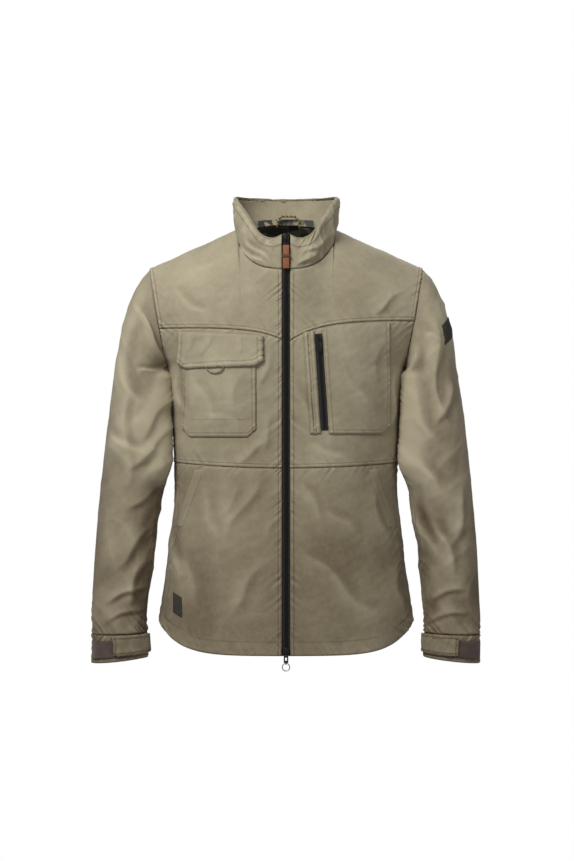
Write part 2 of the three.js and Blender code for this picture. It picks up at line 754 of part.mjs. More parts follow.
const tapeY = [zip.tapeIn, zip.tapeIn + zip.tapeThick];
addMesh("zip_tape_right", geometryFrom(block([-zip.tape, tapeY[0], -zipLength], [-0.2, tapeY[1], -2])), "zip", zipFrame);
addMesh("zip_tape_left", geometryFrom(block([0.2, tapeY[0], -zipLength], [zip.tape, tapeY[1], -2])), "zip", zipFrame);
addMesh("zip_chain", geometryFrom(block([-zip.chain / 2, -0.4, -zipLength + 1], [zip.chain / 2, 1.8, -3])), "zip", zipFrame);

addMesh("top_slider_body", geometryFrom(sliderBody()), "metal", zipFrame);
const pullWidth = 8;
const leather = { width: 13.5, thick: 3, top: -20, fold: -39, bottom: -61, slot: 7, lowerWidth: 12 };
const tongue = { width: 5, thick: 0.8 };
const middleY = barY - 0.9; // leather hangs a little in front of the frame
const topPull = pullFrame(pullWidth, -15.5, -18.5).add(
  block([-tongue.width / 2, barY - tongue.thick / 2, leather.top - 5], [tongue.width / 2, barY + tongue.thick / 2, -18]),
);
addMesh("top_pull_frame", geometryFrom(topPull), "metal", zipFrame);

// The upper leather holds the frame's tongue in a slot, and the lower leather's own tongue from below.
const slot = (z0, z1, width, thick, y) =>
  block([-width / 2 - seamGap, y - thick / 2 - seamGap, z0], [width / 2 + seamGap, y + thick / 2 + seamGap, z1]);
const upperLeather = plate(leather.width, leather.fold, leather.top, middleY - leather.thick / 2, middleY + leather.thick / 2, 1)
  .subtract(slot(leather.top - 5 - seamGap, leather.top + 1, tongue.width, tongue.thick, barY))
  .subtract(slot(leather.fold - 1, leather.fold + 5 + seamGap, 8, 1.2, middleY - 0.4));
addMesh("leather_pull_upper", geometryFrom(upperLeather), "leather", zipFrame);
const lowerLeather = plate(
  leather.lowerWidth, leather.bottom, leather.fold - seamGap, middleY - leather.thick / 2 + 0.2, middleY + leather.thick / 2 - 0.2, 2,
).add(block([-4, middleY - 1, leather.fold - 4], [4, middleY + 0.2, leather.fold + 5]));
addMesh("leather_pull_lower", geometryFrom(lowerLeather), "leather", zipFrame);

// Bottom slider, at the lower end of the chain.
const bottomFrame = new THREE.Group();
bottomFrame.position.z = -zipLength + slider.length + 1;
zipFrame.add(bottomFrame);
addMesh("bottom_slider_body", geometryFrom(sliderBody()), "metal", bottomFrame);
const barrel = { radius: 2.4, bore: 1.75, width: 5, z: -27.5 };
const ringWire = 0.8;
const bottomPull = pullFrame(pullWidth, -14.5, barrel.z + 1)
  .add(rod(barrel.radius, barrel.width, barY, barrel.z))
  .subtract(rod(barrel.bore, pullWidth + 4, barY, barrel.z))
  .subtract(solidFrom(new THREE.CylinderGeometry(1.5, 1.5, 6, 12).translate(0, barY, -20)));
addMesh("bottom_pull", geometryFrom(bottomPull), "metal", bottomFrame);
const ring = new THREE.TorusGeometry(6.4, ringWire, 8, 20);
ring.rotateX(Math.PI / 2);
ring.translate(0, barY, barrel.z - 6.2);
addMesh("bottom_pull_ring", geometryFrom(solidFrom(ring)), "steel", bottomFrame);

// Chest pocket zip, in a frame along its own line.
const chestZipTop = offset(frontFrame(zipPocket.top[0], zipPocket.top[1] - 2), 0);
const chestZipBottom = offset(frontFrame(zipPocket.bottom[0], zipPocket.bottom[1] + 3), 0);
const chestZipFrame = new THREE.Group();
const chestUp = chestZipTop.clone().sub(chestZipBottom).normalize();
const chestOut = frontFrame(61, -247).normal;
const chestRight = chestUp.clone().cross(chestOut).normalize();
const chestBack = chestRight.clone().cross(chestUp).negate();
chestZipFrame.applyMatrix4(new THREE.Matrix4().makeBasis(chestRight, chestBack, chestUp));
const chestRise = 3.6; // the straight tape clears the rounded chest
chestZipFrame.position.copy(chestZipTop).addScaledVector(chestBack, -chestRise);
jacket.add(chestZipFrame);
const chestZipLength = chestZipTop.distanceTo(chestZipBottom);
const halfTape = zipPocket.zipWidth / 2 - 0.4;
addMesh("pocket_zip_tape", geometryFrom(block([-halfTape, 1.1, -chestZipLength], [halfTape, 1.7, 0])), "zip", chestZipFrame);
addMesh("pocket_zip_chain", geometryFrom(block([-1.9, -0.9, -chestZipLength + 1], [1.9, 0.8, -1])), "zip", chestZipFrame);
const smallScale = 0.74;
const pocketSlider = new THREE.Group();
pocketSlider.scale.setScalar(smallScale);
pocketSlider.position.set(0, -0.75, -2);
chestZipFrame.add(pocketSlider);
addMesh("pocket_slider_body", geometryFrom(sliderBody()), "metal", pocketSlider);
addMesh("pocket_pull", geometryFrom(pullFrame(pullWidth + 1, -15, -41)), "metal", pocketSlider);

// Sleeves: rings from the armhole down to the wrist, each between an outer and an inner point.
const sleeveOuter = new THREE.SplineCurve(
  [[tip.x, tip.z], [268, -78], [290, -150], [309, -255], [326, -385], [339, -520], [345, -640], [345, -690]].map(
    ([x, z]) => new THREE.Vector2(x, z),
  ),
);
const bodyClear = Math.max(chestHalfWidth, waistHalfWidth + 13); // the arm hangs clear of the widest of these
const sleeveInner = new THREE.SplineCurve(
  [[0, 0], [2.5, -12], [3, -30], [2, -84], [2, -174], [19, -304], [32, -424], [32, -472]].map(
    ([x, z], i) => new THREE.Vector2((i < 2 ? chestHalfWidth : bodyClear) + x, armpitZ + z),
  ),
);
const sleeveDepths = new THREE.SplineCurve(
  [[0, armholeHalfDepth], [1, 70], [2, 72], [3, 70], [4, 64], [5, 56], [6, 48], [7, 46]].map(
    ([k, d]) => new THREE.Vector2(k, d),
  ),
);
const sleeveForward = 36; // the wrist hangs in front of the shoulder
const cuffLean = { outer: [-1, -cuffHeight - 6], inner: [-2, -cuffHeight + 3] };

// Point at the share w down the sleeve, past 1 in the cuff; the angle is 0 outside, 90 in front.
function sleevePoint(side, w, degrees) {
  const s = Math.min(w, 1);
  const past = Math.max(0, w - 1);
  const outer = sleeveOuter.getPoint(s);
  const inner = sleeveInner.getPoint(s);
  outer.add(new THREE.Vector2(...cuffLean.outer).multiplyScalar(past));
  inner.add(new THREE.Vector2(...cuffLean.inner).multiplyScalar(past));
  const depth = sleeveDepths.getPoint(s).y;
  const angle = THREE.MathUtils.degToRad(degrees);
  const middle = outer.clone().add(inner).multiplyScalar(0.5);
  const half = outer.clone().sub(inner).multiplyScalar(0.5);
  const y = -sleeveForward * smooth(w, 0.15, 1.1) - depth * Math.sin(angle);
  return new THREE.Vector3(
    side * (middle.x + half.x * Math.cos(angle)),
    y,
    middle.y + half.y * Math.cos(angle),
  );
}

function sleeveFrame(side, w, degrees, shift = 0) {
  const step = 0.004;
  const around = sleevePoint(side, w, degrees + 2).sub(sleevePoint(side, w, degrees - 2));
  const down = sleevePoint(side, w + step, degrees).sub(sleevePoint(side, Math.max(0, w - step), degrees));
  const normal = around.cross(down).normalize();
  if (side < 0) normal.negate();
  const point = sleevePoint(side, w, degrees);
  point.x += side * shift;
  return { point, normal };
}

const armholeGap = 1;
const sleeveLevels = [0, 0.06, 0.13, 0.21, 0.3, 0.4, 0.5, 0.6, 0.7, 0.8, 0.9, 1];
const range = (from, to, count) => Array.from({ length: count + 1 }, (_, i) => lerp(from, to, i / count));
const sleeveGrid = (side, levels, angles) => levels.map((w) => angles.map((a) => sleeveFrame(side, w, a, armholeGap)));
const seamDegrees = 0.3;
const cuffTop = 1 + 0.8 / cuffHeight;
const tab = { from: 80, to: 174, top: 1.13, bottom: 1.87, lift: 2.9, thick: 1.6, cut: 0.12 };
const strip = { from: 28, to: 112, top: 1.3, bottom: 1.87, lift: 1.3, thick: 0.9 };
const cuffOut = 0.8;

for (const side of [-1, 1]) {
  const name = sideName[side];
  const top = range(-67.5 + seamDegrees, 157.5 - seamDegrees, 10);
  const under = range(157.5 + seamDegrees, 292.5 - seamDegrees, 6);
  addCloth("sleeve_top_" + name, sleeveGrid(side, sleeveLevels, top), 0, -cloth, "sleeve");
  addCloth("sleeve_under_" + name, sleeveGrid(side, sleeveLevels, under), 0, -cloth, "sleeve");
  const round = range(0, 360, 16).slice(0, -1);
  addCloth("cuff_" + name, sleeveGrid(side, [cuffTop, 1.5, 2], round), cuffOut, -cloth, "sleeve", true);
  const inside = range(0, 360, 10).slice(0, -1);
  addCloth(
    "sleeve_lining_" + name, sleeveGrid(side, sleeveLevels.slice(1), inside), -liningIn - 0.6, -liningIn - 1.5, "lining", true,
  );
  const stripGrid = sleeveGrid(side, [strip.bottom, strip.top], range(strip.from, strip.to, 7));
  addCloth("loop_strip_" + name, stripGrid, strip.lift + strip.thick, strip.lift, "pile");
  const tabAngles = range(tab.from, tab.to, 8);
  const tabGrid = [0, 0.5, 1].map((r) =>
    tabAngles.map((a, i) => {
      const cut = i === 0 ? tab.cut : 0;
      return sleeveFrame(side, lerp(tab.bottom - cut, tab.top + cut, r), a, armholeGap);
    }),
  );
  addCloth("cuff_tab_" + name, tabGrid, tab.lift + tab.thick, tab.lift, "sleeve");
}

const sleeveBadge = { top: 0.245, bottom: 0.305, from: 22, to: 52 };
addCloth(
  "sleeve_badge",
  sleeveGrid(1, [sleeveBadge.bottom, sleeveBadge.top], range(sleeveBadge.from, sleeveBadge.to, 3)),
  2.2,
  1.4,
  "badge",
);

export default jacket;
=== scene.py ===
# Field jacket in its worn shape: twill panels, lining, collar, sleeves, pockets, zips and trim
import bpy
import math
import numpy as np
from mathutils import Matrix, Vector


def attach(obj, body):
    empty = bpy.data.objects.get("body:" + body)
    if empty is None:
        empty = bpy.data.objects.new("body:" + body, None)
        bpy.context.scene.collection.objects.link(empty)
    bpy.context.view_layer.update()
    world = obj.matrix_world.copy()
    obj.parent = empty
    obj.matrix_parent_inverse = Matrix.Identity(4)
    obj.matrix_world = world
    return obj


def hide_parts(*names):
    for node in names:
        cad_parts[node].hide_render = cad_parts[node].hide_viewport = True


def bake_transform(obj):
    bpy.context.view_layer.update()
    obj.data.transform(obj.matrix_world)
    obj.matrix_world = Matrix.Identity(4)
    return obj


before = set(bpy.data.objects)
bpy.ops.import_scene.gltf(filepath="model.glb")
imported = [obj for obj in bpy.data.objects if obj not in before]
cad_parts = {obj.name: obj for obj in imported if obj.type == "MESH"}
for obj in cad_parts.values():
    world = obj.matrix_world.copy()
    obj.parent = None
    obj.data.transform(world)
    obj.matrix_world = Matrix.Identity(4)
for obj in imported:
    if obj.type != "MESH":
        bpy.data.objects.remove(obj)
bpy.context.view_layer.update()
mm = 0.001  # the shape values below are in millimetres

# Camera first: level with the waist, straight in front.
view = {"x": 0.0017, "height": -0.3305, "distance": 3.72, "frameHeight": 1.494, "plane": -0.12}


def makeCamera():
    data = bpy.data.cameras.new("frontCamera")
    data.sensor_fit = "VERTICAL"
    data.sensor_height = 24
    far = view["distance"] + view["plane"]
    data.lens = data.sensor_height * far / view["frameHeight"]
    data.clip_end = 50
    camera = bpy.data.objects.new("frontCamera", data)
    camera.location = (view["x"], -view["distance"], view["height"])
    camera.rotation_euler = (math.pi / 2, 0, 0)
    bpy.context.scene.collection.objects.link(camera)
    bpy.context.scene.camera = camera


makeCamera()
print("camera set")

# Body surface: the same rounded sections that the frame was made from
body = {
    "chest": 212, "waist": 199, "hip": 226, "depth": 105, "lean": 35, "back": 122, "armpit": -216,
    "tipX": 244, "tipZ": -42, "slope": 0.459, "neck": 88, "collarTop": 12, "frontNeck": -50, "backNeck": 42,
    "hem": -720, "hemRise": 49, "tail": 15, "waistSeam": -396, "backYoke": -120, "armholeDepth": 65,
    "section": 2.3, "roll": 2.2, "ridgeRound": 25, "zipHalf": 7.2, "hollow": 16,
}
armholeTall = body["tipZ"] - body["armpit"]


def power(base, exponent):
    return np.power(np.maximum(base, 0), exponent)


def smooth(value, low, high):
    t = np.clip((value - low) / (high - low), 0, 1)
    return t * t * (3 - 2 * t)


def hump(distance, width):
    # a bell curve, 1 at no distance
    return np.exp(-((distance / width) ** 2))


def roundOff(share, exponent):
    # height of a rounded section at a share of its half-width
    return power(1 - power(share, exponent), 1 / exponent)


def unit(v):
    return v / np.maximum(np.linalg.norm(v, axis=-1, keepdims=True), 1e-9)


def lengthsAlong(path):
    return np.concatenate([[0], np.cumsum(np.linalg.norm(np.diff(path, axis=0), axis=1))])


def between(at, far, values):
    # points at the given lengths along a line
    return np.stack([np.interp(at, far, values[:, k]) for k in range(3)], -1)


def splineAt(points, t):
    # smooth curve through evenly spaced points, t from 0 to 1
    points = np.array(points, float)
    last = len(points) - 1
    at = np.clip(np.asarray(t, float), 0, 1) * last
    i = np.minimum(at.astype(int), last - 1)
    w = (at - i)[..., None]
    p0, p1 = points[np.maximum(i - 1, 0)], points[i]
    p2, p3 = points[i + 1], points[np.minimum(i + 2, last)]
    v0, v1 = (p2 - p0) / 2, (p3 - p1) / 2
    return (2 * p1 - 2 * p2 + v0 + v1) * w**3 + (-3 * p1 + 3 * p2 - 2 * v0 - v1) * w**2 + v0 * w + p1


sidePoints = [
    (-760, body["hip"] + 6), (-660, body["hip"]), (-560, (body["waist"] + body["hip"]) / 2 - 1),
    (-440, body["waist"]), (-340, body["waist"] + 0.33 * (body["chest"] - body["waist"])),
    (body["armpit"], body["chest"]),
]
sideCurve = splineAt(sidePoints, np.linspace(0, 1, 400))


def halfWidth(z):
    return np.interp(z, sideCurve[:, 0], sideCurve[:, 1])


def frontDepth(z):
    return body["depth"] + body["lean"] * (body["collarTop"] - z) / (body["collarTop"] - body["hem"])


def rearDepth(z):
    return body["back"] - body["hollow"] * hump(z + 450, 130)


def ridgeZ(x):
    far = np.hypot(body["tipX"], body["ridgeRound"])
    return body["tipZ"] + body["slope"] * (far - np.hypot(x, body["ridgeRound"]))


def armholeX(z):
    return body["chest"] + (body["tipX"] - body["chest"]) * (z - body["armpit"]) / armholeTall


def armholeY(z):
    middle = (body["armpit"] + body["tipZ"]) / 2
    return body["armholeDepth"] * np.sqrt(np.maximum(0, 1 - ((z - middle) / (armholeTall / 2)) ** 2))


def rollAt(t, x, rear):
    rounded = roundOff(t, body["roll"])
    return rounded if rear else 1 - (1 - rounded) * smooth(np.abs(x), 12, 75)


def spreadAt(t, rear):
    t = np.minimum(t, 0.9999)
    z = body["armpit"] + armholeTall * t
    depth = (rearDepth(z) if rear else frontDepth(z)) * rollAt(t, body["tipX"], rear)
    return armholeX(z) / roundOff(armholeY(z) / depth, body["section"])


def sectionY(x, z, t, rear):
    across = roundOff(np.abs(x) / spreadAt(t, rear), body["section"])
    return (rearDepth(z) if rear else -frontDepth(z)) * across * rollAt(t, x, rear)


def bodyPoint(side, u, v, rear):
    # u: 0 centre, 1 side or armhole. v: 0 hem, 1 armpit, 2 shoulder ridge
    n = body["section"]
    share = power(np.sin(u * math.pi / 2), 2 / n)
    low = body["hem"] - (body["tail"] if rear else 0)
    zHem = low + (body["hem"] + body["hemRise"] - low) * power(share, 5.5)
    zLow = zHem + (body["armpit"] - zHem) * np.minimum(v, 1)
    yLow = (rearDepth(zLow) if rear else -frontDepth(zLow)) * power(np.cos(u * math.pi / 2), 2 / n)
    xLow = halfWidth(zLow) * share
    t = power(np.sin(np.maximum(v - 1, 0) * math.pi / 2), 2 / body["roll"])
    xHigh = armholeX(body["armpit"] + armholeTall * t) * share
    zHigh = body["armpit"] + (ridgeZ(xHigh) - body["armpit"]) * t
    yHigh = sectionY(xHigh, zHigh, t, rear)
    up = v > 1
    x, y, z = [np.where(up, *pair) for pair in ((xHigh, xLow), (yHigh, yLow), (zHigh, zLow))]
    return np.stack([side * x, y, z], -1)


def columnU(c, v, rear):
    if rear:
        return c + 0 * v
    z = body["hem"] + (body["armpit"] - body["hem"]) * np.minimum(v, 1)
    t = power(np.sin(np.maximum(v - 1, 0) * math.pi / 2), 2 / body["roll"])
    wide = np.where(v > 1, armholeX(body["armpit"] + armholeTall * t), halfWidth(z))
    edge = 2 / math.pi * np.arcsin(power(body["zipHalf"] / wide, body["section"] / 2))
    return edge + (1 - edge) * c


def columnPoint(side, c, v, rear):
    return bodyPoint(side, columnU(c, v, rear), v, rear)


# Seam curves, as heights over x
yokes = {-1: (-151, 21, 45), 1: (-137, 36, 55)}


def waistCurve(side, x):
    return body["waistSeam"] + 9 * (x / 200) ** 2


def yokeCurve(side, x):
    z, drop, reach = yokes[side]
    return z - drop * np.exp(-(np.abs(x) - 9) / reach)


def backYokeCurve(side, x):
    return body["backYoke"] + 0 * x


def neckCurve(side, x):
    top = ridgeZ(body["neck"])
    return top - (top - body["frontNeck"]) * power(1 - power(np.abs(x) / body["neck"], 2.6), 0.5)


def backNeckCurve(side, x):
    return body["backNeck"] + (ridgeZ(body["neck"]) - body["backNeck"]) * (x / body["neck"]) ** 2


def solve(low, high, below, halvings=34):
    # where below(value) turns from true to false, for arrays
    low, high = np.array(low, float), np.array(high, float)
    for _ in range(halvings):
        middle = (low + high) / 2
        yes = below(middle)
        low, high = np.where(yes, middle, low), np.where(yes, high, middle)
    return low


def neckColumn(rear):
    return float(solve([0.0], [1.0], lambda c: columnPoint(1, c, 2 + 0 * c, rear)[..., 0] < body["neck"])[0])


neckAt = {False: neckColumn(False), True: neckColumn(True)}


def levelOf(side, c, rear, curve):
    # the v at which the columns c meet a seam curve
    def below(v):
        p = columnPoint(side, c, v, rear)
        return p[..., 2] < curve(side, p[..., 0])
    v = solve(0 * c, 0 * c + 2, below)
    if curve in (neckCurve, backNeckCurve):
        v = np.where(c >= neckAt[rear] - 1e-6, 2, v)
    return v


def heightShare(x, z):
    # 0 at the armpit, 1 on the shoulder ridge
    return (z - body["armpit"]) / (ridgeZ(x) - body["armpit"])


def neckPoint(side, angle):
    # where the collar is sewn on: 0 at the centre front, pi at the centre back
    x = body["neck"] * np.sin(angle)
    rear = angle > math.pi / 2
    z = np.where(rear, backNeckCurve(side, x), neckCurve(side, x))
    t = np.clip(heightShare(x, z), 0, 1)
    y = np.where(rear, sectionY(x, z, t, True), sectionY(x, z, t, False))
    return np.stack([side * x, y, z], -1)


# Grids of cloth, rows going up and columns going across, in millimetres
def steps(length, fine, coarse, band=11):
    # shares of a length, close together near both ends, where the seams are
    ends = np.arange(0, band, fine)
    middle = np.linspace(band, length - band, max(3, int((length - 2 * band) / coarse) + 1))
    return np.concatenate([ends, middle, length - ends[::-1]]) / length


def evenly(curve, low, high, shares):
    # values between low and high that lie at the given shares of the curve's length
    at = np.linspace(0, 1, 120)
    samples = low + (high - low) * at
    far = lengthsAlong(curve(samples))
    return np.interp(shares * far[-1], far, samples), far[-1]


def bodyStrip(side, rear, low, high, edges=(0, 1), fine=1.5, coarse=3.2):
    # part of one side, between two seam curves and two columns
    guess = levelOf(side, np.array([sum(edges) / 2]), rear, high)[0] * 0.98
    reach = np.linspace(0, 1, 50)
    _, across = evenly(lambda c: columnPoint(side, c, guess + 0 * c, rear), edges[0], edges[1], reach)
    shares = steps(across, fine, coarse)
    columns, _ = evenly(lambda c: columnPoint(side, c, guess + 0 * c, rear), edges[0], edges[1], shares)
    if high in (neckCurve, backNeckCurve):
        columns[np.argmin(np.abs(columns - neckAt[rear]))] = neckAt[rear]
    bottoms = levelOf(side, columns, rear, low) if low else 0 * columns
    tops = levelOf(side, columns, rear, high)
    longest = 0
    for c, v0, v1 in zip(columns[::9], bottoms[::9], tops[::9]):
        longest = max(longest, evenly(lambda v: columnPoint(side, c + 0 * v, v, rear), v0, v1, reach)[1])
    rows = steps(longest, fine, coarse)
    grid = np.zeros((len(rows), len(columns), 3))
    for i, (c, v0, v1) in enumerate(zip(columns, bottoms, tops)):
        v, _ = evenly(lambda v: columnPoint(side, c + 0 * v, v, rear), v0, v1, rows)
        grid[:, i] = columnPoint(side, c + 0 * v, v, rear)
    return grid


def distances(points):
    across = np.linalg.norm(np.diff(points, axis=1), axis=2)
    up = np.linalg.norm(np.diff(points, axis=0), axis=2)
    left = np.concatenate([np.zeros((len(points), 1)), np.cumsum(across, axis=1)], axis=1)
    low = np.concatenate([np.zeros((1, points.shape[1])), np.cumsum(up, axis=0)], axis=0)
    return {"left": left, "right": left[:, -1:] - left, "low": low, "high": low[-1:] - low}


def gridNormals(points, outward, closed=False):
    if closed:
        wide = np.concatenate([points[:, -2:-1], points, points[:, 1:2]], axis=1)
        across = np.gradient(wide, axis=1)[:, 1:-1]
    else:
        across = np.gradient(points, axis=1)
    normal = np.cross(across, np.gradient(points, axis=0))
    normal = unit(normal)
    return -normal if (normal * outward).sum() < 0 else normal


def fromAxis(points, x=0, y=0):
    out = points - np.array([x, y, 0])
    return out * np.array([1, 1, 0])


# Relief of the worn cloth, outwards in millimetres
def wave(s, seed, length):
    # an uneven ripple along a seam
    turn = 2 * math.pi * s / length
    warp = 2.2 * np.sin(turn / 5.1 + seed) + 1.1 * np.sin(turn / 2.3 - seed)
    return np.sin(turn + warp) * (0.55 + 0.45 * np.sin(turn / 7.3 + 1.7 * seed))


def softNoise(p, seed, length, stretch=(1, 1, 1)):
    rng = np.random.default_rng(seed)
    p = p / np.array(stretch)
    total = 0
    for _ in range(7):
        direction = rng.normal(size=3)
        direction /= np.linalg.norm(direction)
        phase = rng.uniform(0, 2 * math.pi)
        warp = 0.9 * np.sin(p @ rng.normal(size=3) * 2 / length + phase)
        total = total + np.sin(p @ direction * 2 * math.pi / (length * rng.uniform(0.7, 1.5)) + phase + warp)
    return total / 3.2


def creased(p, seed, length, lean):
    # long low ridges that lean by the given angle in front view
    turned = np.stack([
        p[..., 0] * math.cos(lean) + p[..., 2] * math.sin(lean),
        p[..., 1],
        -p[..., 0] * math.sin(lean) + p[..., 2] * math.cos(lean),
    ], -1)
    soft = softNoise(turned, seed, length, (1, 1, 4))
    return 1 - 2.2 * np.abs(soft) / (0.4 + np.abs(soft))


# Seams: groove depth, height and width of the stitched band, height and reach of the gathers,
# and where the ripple starts
seams = {
    "waist": (1.2, 0.9, 8.0, 1.5, 19.0, 1.3),
    "yoke": (1.2, 0.9, 8.0, 1.4, 18.0, 2.1),
    "side": (1.0, 0.7, 7.0, 1.5, 17.0, 3.7),
    "armhole": (0.7, 0.8, 8.0, 1.4, 18.0, 0.9),
    "zip": (0.5, 0.5, 7.0, 2.1, 17.0, 5.2),
    "hem": (0.6, 0.6, 26.0, 1.5, 26.0, 4.4),
    "shoulder": (0.6, 0.4, 7.0, 0.4, 12.0, 6.1),
    "neck": (0.8, 0.0, 8.0, 1.3, 18.0, 7.3),
    "patch": (0.9, 0.5, 7.0, 0.8, 14.0, 2.6),
    "mouth": (0.4, 0.3, 6.0, 0.4, 9.0, 3.1),
    "collarEdge": (0.9, 1.2, 16.5, 1.6, 16.0, 1.9),
    "cuffSeam": (1.2, 0.0, 0.0, 2.4, 34.0, 5.9),
    "cuffEdge": (0.5, 0.5, 7.0, 0.6, 9.0, 4.1),
    "tab": (0.5, 0.4, 4.5, 0.3, 7.0, 0.4),
    "welt": (0.2, 0.1, 4.0, 0.2, 7.0, 0.8),
}


def seamRelief(distance, along, seam, over):
    groove, height, width, gather, reach, seed = seams[seam]
    h = -groove * hump(distance, 1.4)
    if over and width:
        h = h + height * smooth(distance, 0.4, 2.4) * (1 - smooth(distance, width - 0.8, width + 1.8))
        h = h - 0.45 * hump(distance - width + 1, 1.1)  # the stitch line bites in
    slanted = along + 0.75 * distance
    gathers = wave(slanted, seed, 10) + 0.6 * wave(slanted, seed + 2, 23)
    reach = reach * (0.7 + 0.45 * np.sin(along / 13 + seed) * np.sin(along / 37 - seed))
    return h + gather * gathers * np.exp(-distance / reach) * smooth(distance, 0, 3)


def seamShade(distance, seam, over):
    # painted shade: darker in the seam itself and along its stitches, where shadow falls
    groove, _, width = seams[seam][:3]
    dark = 0.75 * min(1, groove) * hump(distance, 1.3)
    if over and width:
        dark = dark + 0.85 * (hump(distance - width + 1, 1.0) + 0.6 * hump(distance - 2, 0.8))
    return dark


def strokeRelief(p, strokes):
    # listed folds: both ends in front view, half-width and height
    total = np.zeros(p.shape[:-1])
    for x0, z0, x1, z1, wide, high in strokes:
        length = math.hypot(x1 - x0, z1 - z0)
        dx, dz = (x1 - x0) / length, (z1 - z0) / length
        along = (p[..., 0] - x0) * dx + (p[..., 2] - z0) * dz
        off = (p[..., 2] - z0) * dx - (p[..., 0] - x0) * dz
        off = off - 0.045 * length * np.sin(2 * math.pi * np.clip(along / length, 0, 1) + x0)
        ends = smooth(along, -0.1 * length, 0.35 * length) * (1 - smooth(along, 0.65 * length, 1.1 * length))
        gentle = np.exp(-((np.abs(off) / (1.5 * wide)) ** 1.2))
        steep = hump(off, 0.5 * wide)
        valley = 0.55 * hump(off - 1.25 * wide, 0.85 * wide)
        ridge = np.where(off > 0, steep, gentle) - valley
        total += high * ends * ridge
    return total


bodyFolds = {
    "front": [
        (-44, -408, -108, -520, 9, 1.5), (-78, -425, -112, -480, 8, 1.1), (-41, -559, -102, -652, 9, 1.6),
        (-150, -430, -120, -520, 10, 1.1), (-178, -545, -160, -650, 12, 1.7),
        (-12, -470, -36, -520, 7, 1.3), (24, -420, 70, -500, 9, 1.5), (30, -540, 118, -620, 10, 1.8),
        (146, -416, 182, -540, 11, 1.6), (90, -600, 160, -664, 12, 1.3), (60, -460, 130, -520, 10, 1.2),
        (-200, -86, -140, -130, 8, 1.7), (204, -84, 150, -128, 8, 1.7), (-200, -222, -180, -300, 8, 2.4),
        (198, -222, 182, -330, 8, 2.4), (-26, -190, -46, -262, 8, 1.5), (-22, -300, -44, -372, 8, 1.5),
        (16, -230, 40, -330, 8, 1.4), (190, -560, 203, -650, 9, 1.6), (-205, -470, -192, -600, 9, 1.8),
        (-34, -350, -92, -390, 8, 1.3), (40, -352, 110, -388, 8, 1.2),
    ],
    "rear": [
        (-196, -180, -110, -290, 11, 2.0), (196, -190, 110, -300, 11, 2.0),
        (-180, -330, -90, -384, 10, 1.5), (180, -320, 80, -385, 10, 1.5), (-70, -415, -150, -540, 12, 1.7),
        (76, -415, 160, -560, 12, 1.7), (-14, -420, 12, -620, 11, 1.3), (-110, -140, -50, -240, 10, 1.2),
        (116, -140, 60, -240, 10, 1.2), (-176, -590, -140, -690, 11, 1.5), (170, -590, 140, -690, 11, 1.5),
        (4, -150, 14, -370, 10, 1.1),
    ],
}


def bodyRelief(p, rear):
    folds = strokeRelief(p, bodyFolds["rear" if rear else "front"])
    soft = 1.0 * softNoise(p, 3, 120) + 0.4 * softNoise(p, 4, 46) + 0.22 * softNoise(p, 5, 19)
    lean = 0.7 * np.sign(p[..., 0:1].mean())
    ridges = 0.7 * creased(p, 6, 90, lean)
    h = 1.6 * folds + soft + ridges + 0.6
    near = smooth(np.abs(p[..., 0]), 9, 40) if not rear else 1  # flat beside the zip
    h = h * (0.25 + 0.75 * near)
    return np.where(h < 0, 1.5 * np.tanh(h / 1.5), h)


def gridArea(points):
    up, across = np.diff(points, axis=0)[:, :-1], np.diff(points, axis=1)[:-1]
    return np.linalg.norm(np.cross(across, up), axis=2).sum()


def sewn(left, right, low, high):
    # the seam at each edge of a grid; after a plus sign the stitched band lies on this cloth
    edges = {"left": left, "right": right, "low": low, "high": high}
    return {edge: (seam.strip("+"), "+" in seam) for edge, seam in edges.items()}


def shaped(points, relief, edges, outward, closed=False):
    # the worn grid: edges maps each side of the grid to its seam and whether its band lies over it
    normal = gridNormals(points, outward, closed)
    far = distances(points)
    h = relief.copy()
    wear, line = np.zeros(h.shape), np.zeros(h.shape)
    for edge, (seam, over) in edges.items():
        along = points[..., 0] if edge in ("low", "high") else points[..., 2]
        h += seamRelief(far[edge], along, seam, over)
        wear += np.exp(-far[edge] / 3) + 0.5 * np.exp(-far[edge] / 14)
        # painted shade: line darkens the cloth in each seam and along its stitches
        line += seamShade(far[edge], seam, over)
    h = np.maximum(h, -2.0)
    worn = points + normal * h[..., None]
    return {
        "points": worn, "normals": gridNormals(worn, outward, closed), "far": far, "closed": closed,
        "uv": np.stack([far["left"], far["low"]], -1), "relief": h, "wear": wear, "line": line,
        "flat": (far["left"].max(), far["low"].max()), "area": gridArea(points),
    }


def lifted(grid, distance):
    # a copy of a grid that lies further out
    copy = dict(grid)
    copy["points"] = grid["points"] + grid["normals"] * distance
    return copy


def meshObject(name, vertices, faces, looks, smoothed=True):
    mesh = bpy.data.meshes.new(name)
    mesh.from_pydata((np.asarray(vertices) * mm).tolist(), [], faces)
    mesh.polygons.foreach_set("use_smooth", [smoothed] * len(faces))
    for look in looks:
        mesh.materials.append(materials[look])
    mesh.update()
    piece = bpy.data.objects.new(name, mesh)
    bpy.context.scene.collection.objects.link(piece)
    return piece


